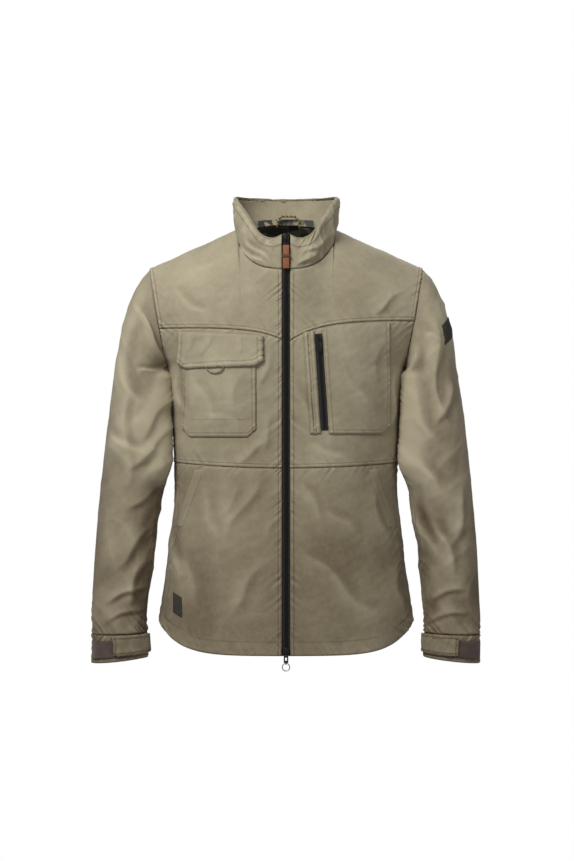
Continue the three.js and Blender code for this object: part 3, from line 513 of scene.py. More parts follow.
def clothPiece(name, grid, look, thick):
    # a sheet with two faces and a rim, worn side out
    outer, normal, closed = grid["points"], grid["normals"], grid["closed"]
    if closed:
        outer, normal = outer[:, :-1], normal[:, :-1]
    rows, columns = outer.shape[:2]
    count = rows * columns
    vertices = np.concatenate([outer.reshape(-1, 3), (outer - normal * thick).reshape(-1, 3)])
    index = np.arange(count).reshape(rows, columns)
    place = np.stack(np.meshgrid(np.arange(rows), np.arange(columns), indexing="ij"), -1)
    if closed:
        index = np.concatenate([index, index[:, :1]], axis=1)
        place = np.concatenate([place, place[:, :1] + [0, columns]], axis=1)

    def quads(table):
        return np.stack([table[:-1, :-1], table[:-1, 1:], table[1:, 1:], table[1:, :-1]], 2).reshape(
            (-1, 4) + table.shape[2:])

    def rim(table):
        if closed:
            low, high = table[0], table[-1][::-1]
            return np.concatenate([np.stack([line[1:], line[:-1]], 1) for line in (low, high)])
        loop = np.concatenate([table[0, :-1], table[:-1, -1], table[-1, :0:-1], table[:0:-1, 0]])
        return np.stack([np.roll(loop, -1, axis=0), loop], 1)

    front, frontPlace = quads(index), quads(place)
    edge, edgePlace = rim(index), rim(place)
    edgeFaces = np.concatenate([edge, edge[:, ::-1] + count], axis=1)
    faces = np.concatenate([front, front[:, ::-1] + count, edgeFaces])
    edgeCorners = np.concatenate([edgePlace, edgePlace[:, ::-1]], axis=1)
    corners = np.concatenate([frontPlace, frontPlace[:, ::-1], edgeCorners])
    first = np.cross(outer[1:, 1:] - outer[:-1, :-1], outer[1:, :-1] - outer[:-1, 1:])
    if (first * normal[:-1, :-1]).sum() < 0:
        faces, corners = faces[:, ::-1], corners[:, ::-1]
    piece = meshObject(name, vertices, faces.tolist(), [look])
    mesh = piece.data
    layer = mesh.uv_layers.new(name="cloth")
    wide = grid["uv"]
    uv = wide[corners[..., 0], np.minimum(corners[..., 1], wide.shape[1] - 1)] * mm
    layer.data.foreach_set("uv", uv.reshape(-1).astype(np.float32))
    for key in ("wear", "relief", "line"):
        values = grid[key][:, :columns].reshape(-1)
        attribute = mesh.attributes.new(key, "FLOAT", "POINT")
        attribute.data.foreach_set("value", np.concatenate([values, values]).astype(np.float32))
    return piece


def edgeLine(grid, edge, distance):
    # the line on the worn cloth that keeps a distance from one edge
    points, normals, far = grid["points"], grid["normals"], grid["far"][edge]
    if edge in ("left", "right"):
        points, normals, far = points.transpose(1, 0, 2), normals.transpose(1, 0, 2), far.T
    if edge in ("high", "right"):
        points, normals, far = points[::-1], normals[::-1], far[::-1]

    def at(table):
        return np.stack([between(distance, far[:, i], table[:, i]) for i in range(points.shape[1])])

    return at(points), at(normals)


stitch = {"pitch": 3.4, "length": 2.5, "radius": 0.36}


def stitchRow(line, facing, skip=3):
    # a row of short threads that dive into the cloth at both ends
    far = lengthsAlong(line)
    starts = np.arange(skip, far[-1] - skip, stitch["pitch"])
    shares = np.array([0, 0.2, 0.5, 0.8, 1])
    at = starts[:, None] + shares * stitch["length"]
    middle, out = between(at, far, line), between(at, far, facing)
    across = np.cross(unit(np.gradient(middle, axis=1)), out)
    rise = np.array([-0.3, 0.12, 0.24, 0.12, -0.3])[None, :, None]
    size = np.array([0.5, 0.9, 1, 0.9, 0.5])[None, :, None] * stitch["radius"]
    rings = []
    for turn in range(6):
        angle = turn * math.pi / 3
        rings.append(middle + out * rise + size * (across * math.cos(angle) + out * math.sin(angle)))
    vertices = np.stack(rings, 2)  # stitch, place, turn
    count = len(starts)
    index = np.arange(count * 30).reshape(count, 5, 6)
    turned = np.roll(index, -1, axis=2)
    sides = np.stack([index[:, :-1], turned[:, :-1], turned[:, 1:], index[:, 1:]], -1).reshape(-1, 4)
    caps = []
    for k in (0, 4):
        ring = index[:, k]
        pair = np.stack([ring[:, [0, 1, 2, 3]], ring[:, [0, 3, 4, 5]]], 1).reshape(-1, 4)
        caps.append(pair[:, ::-1] if k == 0 else pair)
    return vertices.reshape(-1, 3), np.concatenate([sides] + caps)


def stitchPiece(name, lines):
    vertices, faces, count = [], [], 0
    for line, facing in lines:
        v, f = stitchRow(line, facing)
        vertices.append(v)
        faces.append(f + count)
        count += len(v)
    return meshObject(name, np.concatenate(vertices), np.concatenate(faces).tolist(), ["thread"])


# Materials
def toLinear(colour):
    parts = [int(colour[i:i + 2], 16) / 255 for i in (1, 3, 5)]
    return [p / 12.92 if p <= 0.04045 else ((p + 0.055) / 1.055) ** 2.4 for p in parts] + [1]


def addNode(tree, kind, inputs=None, **settings):
    node = tree.nodes.new(kind)
    for key, value in settings.items():
        setattr(node, key, value)
    for key, value in (inputs or {}).items():
        if isinstance(value, bpy.types.NodeSocket):
            tree.links.new(value, node.inputs[key])
        else:
            node.inputs[key].default_value = value
    return node


def newMaterial(name):
    material = bpy.data.materials.new(name)
    material.use_nodes = True
    material.node_tree.nodes.clear()
    return material, material.node_tree


def finish(tree, inputs):
    shader = addNode(tree, "ShaderNodeBsdfPrincipled", inputs)
    addNode(tree, "ShaderNodeOutputMaterial", {"Surface": shader.outputs[0]})
    return shader


def objectPlace(tree):
    return addNode(tree, "ShaderNodeTexCoord").outputs["Object"]


def noise(tree, vector, scale, detail, roughness=0.5, distortion=0.0):
    return addNode(tree, "ShaderNodeTexNoise", {
        "Vector": vector, "Scale": scale, "Detail": detail, "Roughness": roughness, "Distortion": distortion,
    }).outputs["Fac"]


def mixed(tree, share, first, second):
    return addNode(tree, "ShaderNodeMix", {0: share, 6: first, 7: second}, data_type="RGBA").outputs[2]


def bumped(tree, height, distance, strength):
    return addNode(tree, "ShaderNodeBump", {
        "Height": height, "Distance": distance, "Strength": strength}).outputs[0]


def above(tree, value, level):
    return addNode(tree, "ShaderNodeMath", {0: value, 1: level}, operation="GREATER_THAN").outputs[0]


def weighted(tree, terms, base):
    # base plus each value times its weight
    total = base
    for value, weight in terms:
        total = addNode(
            tree, "ShaderNodeMath", {0: value, 1: weight, 2: total}, operation="MULTIPLY_ADD").outputs[0]
    return total


twill = {"pitch": 0.0021, "ridge": 0.00022, "roughness": 0.82}  # drawn twice as coarse as the real twill


def makeTwill(name, dark, light, rise):
    # washed cotton twill: fine slanted ribs, matt, paler where it is rubbed along the seams, with painted
    # shade in the seams, along the stitches, in the hollows and under the arms, and painted light that makes
    # it paler towards the top
    material, tree = newMaterial(name)
    uv = addNode(tree, "ShaderNodeUVMap", uv_map="cloth").outputs[0]
    place = objectPlace(tree)
    scale = 2 * math.pi / (10 * math.sqrt(2) * twill["pitch"])
    ribs = addNode(tree, "ShaderNodeTexWave", {"Vector": uv, "Scale": scale, "Distortion": 0.6, "Detail": 1},
                   wave_type="BANDS", bands_direction="DIAGONAL").outputs["Fac"]
    grain = noise(tree, uv, 520, 3, 0.7)
    cloud = noise(tree, place, 11, 3)
    mottle = noise(tree, place, 120, 4, 0.7)
    wear, relief, line = [addNode(tree, "ShaderNodeAttribute", attribute_name=key).outputs["Fac"]
                          for key in ("wear", "relief", "line")]
    # painted light: the cloth gets paler the higher it hangs, as if lit from above; rise sets how much
    level = addNode(tree, "ShaderNodeSeparateXYZ", {0: place}).outputs[2]
    # relief makes raised cloth paler where it is rubbed and the hollows darker as painted shade; line adds
    # painted shade in the seams and under the arms
    paleness = weighted(tree, [
        (cloud, 0.26), (mottle, 0.36), (wear, 0.14), (relief, 0.09), (ribs, 0.16), (grain, 0.22),
        (line, -0.48), (level, rise)], 0.205)
    colour = mixed(tree, paleness, toLinear(dark), toLinear(light))
    height = weighted(tree, [(ribs, 0.5), (grain, 0.5)], 0.0)
    bump = bumped(tree, height, twill["ridge"], 0.7)
    finish(tree, {"Base Color": colour, "Roughness": twill["roughness"], "Normal": bump,
                  "Sheen Weight": 0.12, "Sheen Roughness": 0.5, "IOR": 1.45, "Specular IOR Level": 0.3})
    return material


def makePrint(name):
    # printed cotton lining: broken dark patches on olive
    material, tree = newMaterial(name)
    place = objectPlace(tree)
    shifted = addNode(tree, "ShaderNodeMapping", {"Vector": place, "Location": (3.1, 1.7, 5.2)}).outputs[0]
    first = above(tree, noise(tree, place, 21, 2.2, 0.5, 0.8), 0.53)
    second = above(tree, noise(tree, shifted, 27, 2.2, 0.5, 0.9), 0.56)
    colour = mixed(tree, first, toLinear("#8b8b74"), toLinear("#62634f"))
    colour = mixed(tree, second, colour, toLinear("#3c3d35"))
    bump = bumped(tree, noise(tree, place, 900, 2), 0.0002, 0.5)
    finish(tree, {"Base Color": colour, "Roughness": 0.7, "Normal": bump, "Sheen Weight": 0.1})
    return material


def makeGrained(name, dark, light, scale, height, roughness, sheen, metal):
    # one material with a random grain: pile, leather, thread or moulded plastic
    material, tree = newMaterial(name)
    place = objectPlace(tree)
    grain = noise(tree, place, scale, 4, 0.7)
    paleness = weighted(tree, [(grain, 0.9), (noise(tree, place, scale / 9, 2), 0.9)], -0.4)
    colour = mixed(tree, paleness, toLinear(dark), toLinear(light))
    finish(tree, {"Base Color": colour, "Normal": bumped(tree, grain, height, 0.8), "Roughness": roughness,
                  "Sheen Weight": sheen, "Metallic": metal})
    return material


# three copies of one washed twill: the upper panels painted a shade paler as if lit from above, the sleeves a
# shade darker as painted shade; the last number paints the cloth paler towards the top, as light from above
# would
materials = {
    "body": makeTwill("washedTwillBody", "#67563f", "#bbb195", 0.62),
    "upper": makeTwill("washedTwillUpperPaintedLight", "#68593f", "#bdb398", 0.62),
    "sleeve": makeTwill("washedTwillSleevePaintedShade", "#655540", "#bbb095", 0.62),
    "print": makePrint("printedLining"),
}
# name, dark and light colour, grain scale, grain height in metres, roughness, sheen, metal
grained = {
    "thread": ("cottonThread", "#6f664f", "#9c9278", 900, 0.0001, 0.7, 0.1, 0),
    "tape": ("wovenZipTape", "#131312", "#2b2a28", 1200, 0.0002, 0.75, 0, 0),
    "teeth": ("mouldedZipTeeth", "#0d0d0d", "#1d1d1c", 500, 0.00005, 0.35, 0, 0),
    "black": ("blackEnamelledZinc", "#2b2a2a", "#4a4948", 400, 0.00005, 0.28, 0, 0.8),
    "steel": ("nickelledSteel", "#77767a", "#a9a8a6", 300, 0.00004, 0.25, 0, 1.0),
    "leather": ("vegetableTannedLeather", "#6f3d21", "#aa6a42", 420, 0.00025, 0.55, 0, 0),
    "leatherDark": ("darkenedLeather", "#46291a", "#6f4429", 420, 0.00025, 0.5, 0, 0),
    "pile": ("loopPile", "#3e312b", "#6a5850", 700, 0.0008, 0.95, 0.4, 0),
    "badge": ("wovenBadge", "#2b2823", "#4c473e", 900, 0.0003, 0.8, 0, 0),
    "cordTan": ("tanCord", "#8a7448", "#c0a970", 1100, 0.0002, 0.8, 0, 0),
    "cordDark": ("darkCord", "#26211a", "#453b2c", 1100, 0.0002, 0.8, 0, 0),
    "cordKhaki": ("khakiCord", "#766c54", "#a69b7f", 1100, 0.0002, 0.8, 0, 0),
}
for key, values in grained.items():
    materials[key] = makeGrained(*values)
print("materials made")


# Cords first: the hanger loop inside the back of the neck
hanger = {"x": 4, "half": 21, "flat": 9, "height": 15, "below": 4, "cord": 4, "forward": 11, "turns": 9}


def pathFrame(path):
    # two directions square to a path and to each other
    tangent = unit(np.gradient(path, axis=0))
    across = unit(np.cross(tangent, np.array([0.13, 0.97, 0.2])))
    return across, np.cross(tangent, across)


def loftTube(path, radius, sides=8):
    # a round tube along a path, with closed ends
    across, other = pathFrame(path)
    angle = np.arange(sides) * 2 * math.pi / sides
    ring = across[:, None] * np.cos(angle)[None, :, None] + other[:, None] * np.sin(angle)[None, :, None]
    vertices = (path[:, None] + ring * radius).reshape(-1, 3)
    index = np.arange(len(vertices)).reshape(len(path), sides)
    turned = np.roll(index, -1, axis=1)
    faces = np.stack([index[:-1], turned[:-1], turned[1:], index[1:]], -1).reshape(-1, 4).tolist()
    return vertices, faces + [index[0][::-1].tolist(), index[-1].tolist()]


def joinedTubes(name, tubes, looks, bodyName, node):
    # one look per strand, the last look for all that follow
    vertices, faces, slots, count = [], [], [], 0
    for strand, (v, f) in enumerate(tubes):
        vertices.append(v)
        faces += [[i + count for i in face] for face in f]
        slots += [min(strand, len(looks) - 1)] * len(f)
        count += len(v)
    piece = meshObject(name, np.concatenate(vertices), faces, looks)
    piece.data.polygons.foreach_set("material_index", slots)
    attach(piece, bodyName)
    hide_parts(node)
    return piece


def twistedCord(path, radius, turns, count=160):
    # three strands laid round each other
    far = lengthsAlong(path)
    middle = between(np.linspace(0, far[-1], count), far, path)
    across, other = pathFrame(middle)
    tubes = []
    for strand in range(3):
        angle = np.linspace(0, 2 * math.pi * turns, count) + strand * 2 * math.pi / 3
        off = across * np.cos(angle)[:, None] + other * np.sin(angle)[:, None]
        tubes.append(loftTube(middle + off * radius * 0.48, radius * 0.55))
    return tubes, middle, far[-1]


def bezier(a, b, c, count=20):
    t = np.linspace(0, 1, count)[:, None]
    return (1 - t) ** 2 * np.array(a) + 2 * t * (1 - t) * np.array(b) + t**2 * np.array(c)


def makeHanger():
    t = heightShare(hanger["x"], body["backNeck"])
    y = float(sectionY(np.array([float(hanger["x"])]), body["backNeck"], t, True)[0]) - hanger["forward"]
    low, top = body["backNeck"] - hanger["below"], body["backNeck"] + hanger["height"]
    x, half, flat = hanger["x"], hanger["half"], hanger["flat"]
    start = bezier((x - half, y, low), (x - half + 3, y, top), (x - flat, y, top))
    end = bezier((x + flat, y, top), (x + half - 3, y, top), (x + half, y, low))
    tubes, middle, length = twistedCord(np.concatenate([start, end]), hanger["cord"] / 2, hanger["turns"])
    piece = joinedTubes("hangerLoop", tubes, ["cordDark", "cordTan"], "shell", "hanger_loop")


makeHanger()
print("cords made")


# Panels of the shell
sides = {-1: "right", 1: "left"}
panelEdge = 0.8  # column where the side panels start
rows = {name: [] for name in ("shell", "sleeve_right", "sleeve_left", "pocket_flap")}
rowAt = {"edge": 1.6, "fell": 6.4, "patch": 6.2, "band": 7, "hem": 25}  # stitch rows from a panel's edge


def joinAtShoulder(piece):
    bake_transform(piece)


def addPanel(name, grid, look, node=None, thick=1.3, bodyName="shell", across=None):
    # across is the side whose shoulder the cloth passes over
    piece = clothPiece(name, grid, look, thick)
    if across:
        joinAtShoulder(piece)
    else:
        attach(piece, bodyName)
    if node:
        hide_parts(node)


def outline(grid, bodyName="shell", **lines):
    # keeps the lines for the topstitching: distances from each edge
    for edge, places in lines.items():
        rows[bodyName] += [edgeLine(grid, edge, rowAt.get(place, place)) for place in places]


def frontPanel(side, low, high, edges, seamsOf):
    grid = bodyStrip(side, False, low, high, edges)
    return shaped(grid, bodyRelief(grid, False), seamsOf, fromAxis(grid))


def bothSides(left, right):
    # right half mirrored in column order, then the left half, sharing the centre column
    return np.concatenate([right[:, ::-1], left[:, 1:]], axis=1)


def backPanel(low, high, edge, seamsOf):
    halves = {side: bodyStrip(side, True, low, high, (0, edge)) for side in sides}
    count = min(half.shape[0] for half in halves.values())
    grid = bothSides(halves[1][:count], halves[-1][:count])
    return shaped(grid, bodyRelief(grid, True), seamsOf, fromAxis(grid))


def sidePanel(side, seamsOf):
    front, back = [bodyStrip(side, rear, None, waistCurve, (panelEdge, 1)) for rear in (False, True)]
    t, u = np.linspace(0, 1, len(front)), np.linspace(0, 1, len(back))
    back = np.stack([between(t, u, back[:, i]) for i in range(back.shape[1])], 1)
    grid = np.concatenate([front, back[:, ::-1][:, 1:]], axis=1)
    mix = smooth(grid[..., 1], -12, 12)
    relief = bodyRelief(grid, False) * (1 - mix) + bodyRelief(grid, True) * mix
    return shaped(grid, relief, seamsOf, fromAxis(grid))


for side, name in sides.items():
    lower = frontPanel(side, None, waistCurve, (0, panelEdge), sewn("zip+", "side+", "hem+", "waist"))
    chest = frontPanel(side, waistCurve, yokeCurve, (0, 1), sewn("zip+", "armhole", "waist+", "yoke"))
    top = frontPanel(side, yokeCurve, neckCurve, (0, 1), sewn("zip+", "armhole+", "yoke+", "shoulder"))
    wrap = sidePanel(side, sewn("side", "side", "hem+", "waist"))
    addPanel("lowerFront_" + name, lower, "body", "lower_front_" + name)
    addPanel("chestPanel_" + name, chest, "upper", "chest_panel_" + name)
    addPanel("frontYoke_" + name, top, "upper", "front_yoke_" + name)
    addPanel("sidePanel_" + name, wrap, "body", "side_panel_" + name)
    outline(lower, left=["fell"], right=["edge", "fell"], low=["hem"])
    outline(chest, left=["fell"], low=["edge", "band"])
    outline(top, left=["fell"], low=["edge", "band"], right=["edge", "band"])
    outline(wrap, low=["hem"])
print("front panels made")

backLower = backPanel(None, waistCurve, panelEdge, sewn("side+", "side+", "hem+", "waist"))
backUpper = backPanel(waistCurve, backYokeCurve, 1, sewn("armhole", "armhole", "waist+", "yoke"))
backTop = backPanel(backYokeCurve, backNeckCurve, 1, sewn("armhole+", "armhole+", "yoke+", "shoulder+"))
addPanel("backPanelLower", backLower, "body", "back_panel_lower")
addPanel("backPanelUpper", backUpper, "upper", "back_panel_upper")
addPanel("backYoke", backTop, "upper", "back_yoke")
outline(backLower, left=["edge", "fell"], right=["edge", "fell"], low=["hem"])
outline(backUpper, low=["edge", "band"])
outline(backTop, low=["edge", "band"], left=["edge"], right=["edge"])
print("back panels made")

# Lining and pocket bags, smooth sheets behind the shell
lining = {"in": 3.7, "thick": 0.8, "bagIn": 2.3, "bagThick": 0.6, "sleeveIn": 4.3, "fine": 5, "coarse": 7}


def plainGrid(grid, outward, closed=False):
    return shaped(grid, np.zeros(grid.shape[:2]), {}, outward, closed)


def liningStrip(side, rear, high, edges):
    return bodyStrip(side, rear, None, high, edges, lining["fine"], lining["coarse"])


def addLining(name, strip, node, inside, thick):
    grid = plainGrid(strip, fromAxis(strip))
    addPanel(name, lifted(grid, -inside), "print", node, thick)


for side, name in sides.items():
    strip = liningStrip(side, False, neckCurve, (0.02, 0.995))
    addLining("liningFront_" + name, strip, "lining_front_" + name, lining["in"], lining["thick"])
    strip = liningStrip(side, False, waistCurve, (0.3, panelEdge - 0.03))[12:-6]
    addLining("handPocketBag_" + name, strip, "hand_pocket_bag_" + name, lining["bagIn"], lining["bagThick"])
halves = {side: liningStrip(side, True, backNeckCurve, (0, 0.995)) for side in sides}
count = min(len(half) for half in halves.values())
strip = bothSides(halves[1][:count], halves[-1][:count])
addLining("liningBack", strip, "lining_back", lining["in"], lining["thick"])
print("lining made")

# Stand collar: an outer leaf that rolls over its top edge, and an inner leaf
collar = {
    "halfWidth": 92, "middleY": -23, "halfDepth": 83, "bulge": 3, "lift": 0.6, "roll": 1.7, "inside": 4.5,
    "heights": (13, 5, 14, 42, 64, 78, 84, 87, 88, 88.5, 89, 89, 89), "columns": 340,
    "leafIn": 3.4, "bandIn": 4.6,
}


def collarPoint(side, angle, s):
    base = neckPoint(side, angle) + np.array([0, 0, collar["lift"]])
    height = splineAt([(h,) for h in collar["heights"]], angle / math.pi)[..., 0]
    top = np.stack([side * collar["halfWidth"] * np.sin(angle),
                    collar["middleY"] - collar["halfDepth"] * np.cos(angle), height], -1)
    outward = unit(fromAxis(base, 0, collar["middleY"]))
    swell = collar["bulge"] * smooth(np.abs(base[..., 0]), 16, 40)
    swell = np.where(angle > math.pi / 2, collar["bulge"], swell) * np.sin(math.pi * s)
    return base + (top - base) * s[..., None] + outward * swell[..., None], outward


def collarGrid(shares, first=None):
    start = math.asin(body["zipHalf"] / body["neck"]) if first is None else first
    angle = np.linspace(start, math.pi, collar["columns"] // 2)
    a, s = np.meshgrid(angle, shares)
    left, right = collarPoint(1, a, s), collarPoint(-1, a, s)
    return [bothSides(left[i][:, ::-1], right[i][:, ::-1]) for i in (0, 1)]


def collarRelief(p):
    h = 1.4 * softNoise(p, 21, 62, (1, 1, 0.7)) + 1.2 * creased(p, 22, 40, 0.5) + 0.5 * softNoise(p, 23, 15)
    pleats = [
        (-72, 4, -24, -40, 4, 3.4), (-86, -4, -40, -40, 4, 2.6), (62, -10, 18, -46, 4, 3.0),
        (80, 10, 30, -22, 4, 2.6),
        (-36, 6, -16, -18, 3, 2.6), (-60, 44, -78, 8, 5, 2.0), (76, 50, 88, 12, 5, 2.0)]
    front = strokeRelief(p, pleats) * (p[..., 1] < -20)
    inner = 1.2 * np.sin(p[..., 0] / 7 + 2 * np.sin(p[..., 0] / 19)) * (p[..., 1] > 20)
    return (h + inner) * smooth(np.abs(p[..., 0]) + 60 * (p[..., 1] > 0), 10, 34) + front


def makeCollar():
    shares = steps(74, 1.4, 2.4, 20) * 1.06 - 0.06
    points, outward = collarGrid(shares)
    tuck = 3 * (1 - smooth(shares, 0, 0.04))[:, None]
    grid = shaped(points, collarRelief(points) + 0.4 - tuck, {
        "high": ("collarEdge", True), "left": ("mouth", False), "right": ("mouth", False)}, outward)
    outline(grid, high=[1.5, 15.5])
    # roll the top edge over and down the inside
    edge, out = grid["points"][-1], outward[-1]
    up = unit(edge - grid["points"][-2])
    extra = []
    for turn in np.linspace(0.25, 1, 4) * math.pi:
        extra.append(edge + collar["roll"] * (up * math.sin(turn) - out * (1 - math.cos(turn))))
    for down in np.linspace(1.2, collar["inside"], 4):
        extra.append(extra[3] - up * down)
    whole = np.concatenate([grid["points"], np.stack(extra)], axis=0)
    count = len(extra)
    rolled = dict(grid)
    rolled["points"] = whole
    rolled["normals"] = gridNormals(whole, np.concatenate([outward, -np.repeat(outward[-1:], count, axis=0)]))

    def extended(values):
        return np.concatenate([values, np.repeat(values[-1:], count, axis=0)])

    rolled["uv"] = np.stack([extended(grid["uv"][..., 0]), distances(whole)["low"]], -1)
    for key in ("wear", "relief", "line"):
        rolled[key] = extended(grid[key])
    rolled["area"], rolled["flat"] = gridArea(whole), (grid["flat"][0], distances(whole)["low"].max())
    addPanel("collarOuter", rolled, "upper", "collar_outer", 1.1)
    points, outward = collarGrid(steps(70, 2, 3.5) - 0.07, 0.12)
    inner = shaped(points, 0.5 * softNoise(points, 31, 40) - 0.4, {"low": ("neck", False)}, outward)
    addPanel("collarInner", lifted(inner, -collar["leafIn"]), "upper", "collar_inner", 1.0)


makeCollar()


def makeNeckband():
    points, outward = collarGrid(np.linspace(-0.08, 0.17, 12), 1.75)
    for side, half in ((1, points[:, :collar["columns"] // 2]), (-1, points[:, collar["columns"] // 2 - 1:])):
        out = fromAxis(half, 0, collar["middleY"])
        grid = shaped(half, 0.3 * softNoise(half, 33, 30), {}, out)
        band = lifted(grid, -collar["bandIn"])
        addPanel("neckFacing_" + sides[side], band, "print", thick=0.7)


makeNeckband()
print("collar made")

# Sleeves
arm = {
    "outer": [
        (244, -42), (268, -78), (290, -150), (309, -255), (326, -385), (339, -520), (345, -640), (345, -690),
    ],
    "inner": [
        (212, -216), (214.5, -228), (215, -246), (214, -300), (214, -390), (231, -520), (244, -640),
        (244, -688),
    ],
    "depth": [(65,), (70,), (72,), (70,), (64,), (56,), (48,), (46,)],
    "forward": 36, "cuffOuter": (-1, -52), "cuffInner": (-2, -43), "shift": 1, "seams": (-67.5, 157.5, 292.5),
}
sleeveFolds = {
    -1: {
        "front": [
            (-264, -112, -211, -208, 6, 5.0), (-205, -256, -264, -352, 11, 5.0),
            (-274, -253, -281, -425, 8, 3.0), (-246, -349, -222, -416, 8, 3.0),
            (-264, -226, -226, -222, 4, 2.4), (-204, -312, -276, -400, 11, 4.4),
            (-222, -424, -282, -470, 9, 2.2), (-262, -90, -290, -300, 12, 2.4),
            (-250, -602, -318, -632, 6, 2.4), (-250, -640, -322, -666, 5, 2.0),
            (-242, -500, -300, -575, 9, 2.6), (-300, -190, -262, -290, 9, 3.2),
            (-318, -330, -250, -380, 9, 2.6), (-250, -540, -280, -640, 9, 2.6),
        ],
        "rear": [
            (-220, -240, -290, -330, 12, 2.8), (-215, -330, -310, -410, 12, 2.2),
            (-225, -430, -320, -500, 12, 2.0), (-300, -120, -240, -220, 12, 2.0),
            (-330, -620, -250, -600, 7, 1.7), (-240, -520, -320, -580, 11, 1.7),
        ],
    },
    1: {
        "front": [
            (244, -158, 274, -172, 5, 3.0), (252, -130, 282, -330, 10, 3.4), (214, -246, 262, -352, 9, 4.2),
            (210, -340, 268, -440, 9, 3.6), (262, -486, 300, -590, 9, 2.8), (316, -604, 250, -626, 6, 2.2),
            (322, -646, 246, -664, 5, 2.0), (300, -230, 262, -330, 10, 3.4),
            (222, -440, 262, -560, 10, 3.4), (318, -420, 290, -540, 10, 2.8),
            (232, -180, 216, -260, 8, 4.6), (280, -100, 302, -230, 10, 2.8),
        ],
        "rear": [
            (218, -250, 292, -340, 12, 2.8), (214, -340, 308, -420, 12, 2.2),
            (222, -440, 322, -510, 12, 2.0), (304, -130, 240, -230, 12, 2.0),
            (334, -610, 250, -622, 7, 1.7), (240, -530, 322, -590, 11, 1.7),
        ],
    },
}


def sleevePoint(side, w, degrees):
    s, past, before = np.clip(w, 0, 1), np.maximum(0, w - 1)[..., None], np.minimum(w, 0)[..., None]
    outer = splineAt(arm["outer"], s) + past * np.array(arm["cuffOuter"]) + before * np.array([84, -126])
    inner = splineAt(arm["inner"], s) + past * np.array(arm["cuffInner"]) + before * np.array([9, -42])
    depth = splineAt(arm["depth"], s)[..., 0]
    angle = np.radians(degrees)
    middle, half = (outer + inner) / 2, (outer - inner) / 2
    x = side * (middle[..., 0] + half[..., 0] * np.cos(angle) + arm["shift"] * smooth(w, 0, 0.15))
    y = -arm["forward"] * smooth(w, 0.15, 1.1) - depth * np.sin(angle)
    return np.stack([x, y, middle[..., 1] + half[..., 1] * np.cos(angle)], -1)


def sleeveOut(side, w, degrees):
    middle = (sleevePoint(side, w, degrees + 90) + sleevePoint(side, w, degrees + 270)) / 2
    return sleevePoint(side, w, degrees) - middle


def sleeveStrip(side, w0, w1, a0, a1, fine=1.5, coarse=3.2, closed=False):
    middle = (a0 + a1) / 2
    reach = np.linspace(0, 1, 60)
    _, long = evenly(lambda w: sleevePoint(side, w, middle + 0 * w), w0, w1, reach)
    levels, _ = evenly(lambda w: sleevePoint(side, w, middle + 0 * w), w0, w1, steps(long, fine, coarse))
    _, round_ = evenly(lambda a: sleevePoint(side, 0.3 + 0 * a, a), a0, a1, reach)
    shares = np.linspace(0, 1, int(round_ / coarse)) if closed else steps(round_, fine, coarse)
    angles, _ = evenly(lambda a: sleevePoint(side, (w0 + w1) / 2 + 0 * a, a), a0, a1, shares)
    a, w = np.meshgrid(angles, levels[::-1])
    return sleevePoint(side, w, a), sleeveOut(side, w, a), w, a


def sleeveRelief(side, p, w, degrees):
    front = smooth(np.sin(np.radians(degrees)), -0.35, 0.25)
    folds = strokeRelief(p, sleeveFolds[side]["front"]) * front
    folds = folds + strokeRelief(p, sleeveFolds[side]["rear"]) * (1 - front)
    soft = 2.0 * softNoise(p, 41 + side, 105, (1, 1, 1.5)) + 0.8 * softNoise(p, 43 + side, 42)
    soft = soft + 0.3 * softNoise(p, 45, 18)
    ridges = 1.3 * creased(p, 46 + side, 88, -0.75 * side)
    h = folds * 1.5 + soft + ridges + 1.2
    h = np.where(h < 0, 1.6 * np.tanh(h / 1.6), h)
    h = h * (0.35 + 0.65 * smooth(w, 0, 0.1)) * (1 - 0.45 * smooth(w, 0.96, 1.02))
    # below the armpit the inner front hangs over the body, and the top edge is tucked under the yoke
    z = p[..., 2]
    band = smooth(z, -440, -385) * (1 - smooth(z, -238, -216))
    h = h * (1 - 0.6 * band * hump(degrees - 168, 42))
    h = h + (17 - 0.05 * np.minimum(z + 300, 0)) * band * hump(degrees - 150, 27)
    turned = (degrees + 180) % 360 - 180
    outer = hump(turned, 40) * smooth(w, 0.25, 0.6)
    return h * (1 - 0.7 * outer) - 1.6 * outer - 3.5 * (1 - smooth(w, -0.01, 0.012))


def makeSleeve(side):
    name = sides[side]
    a0, a1, a2 = arm["seams"]
    for label, low, high, over in (("Top", a0, a1, True), ("Under", a1, a2, False)):
        points, outward, w, a = sleeveStrip(side, -0.04, 1, low, high)
        grid = shaped(points, sleeveRelief(side, points, w, a), {
            "left": ("side", over), "right": ("side", over), "low": ("cuffSeam", False)}, outward)
        grid["line"] += 0.75 * hump(a % 360 - 158, 42) * smooth(w, 0.05, 0.3)  # painted shade: darker under the arm, where the body shades the sleeve
        node = "sleeve_" + label.lower() + "_" + name
        addPanel("sleeve" + label + "_" + name, grid, "sleeve", node, across=side)
        if over:
            outline(grid, "sleeve_" + name, left=["edge", "fell"], right=["edge", "fell"])
    points, outward, w, a = sleeveStrip(side, 1.012, 2, 0, 360, closed=True)
    relief = -0.3 + 0.7 * softNoise(points, 51 + side, 40) + 0.4 * creased(points, 52, 30, 0.3)
    relief[:, -1] = relief[:, 0]
    seamsAt = {"low": ("cuffEdge", True), "high": ("cuffSeam", False)}
    grid = shaped(points, relief, seamsAt, outward, closed=True)
    addPanel("cuffBand_" + name, grid, "sleeve", "cuff_" + name, 2.0, "sleeve_" + name)
    points, outward, w, a = sleeveStrip(side, 0.07, 1, 0, 360, lining["fine"], lining["coarse"], closed=True)
    grid = lifted(plainGrid(points, outward, closed=True), -lining["sleeveIn"])
    addPanel("sleeveLining_" + name, grid, "print", "sleeve_lining_" + name, lining["thick"],
             across=side)


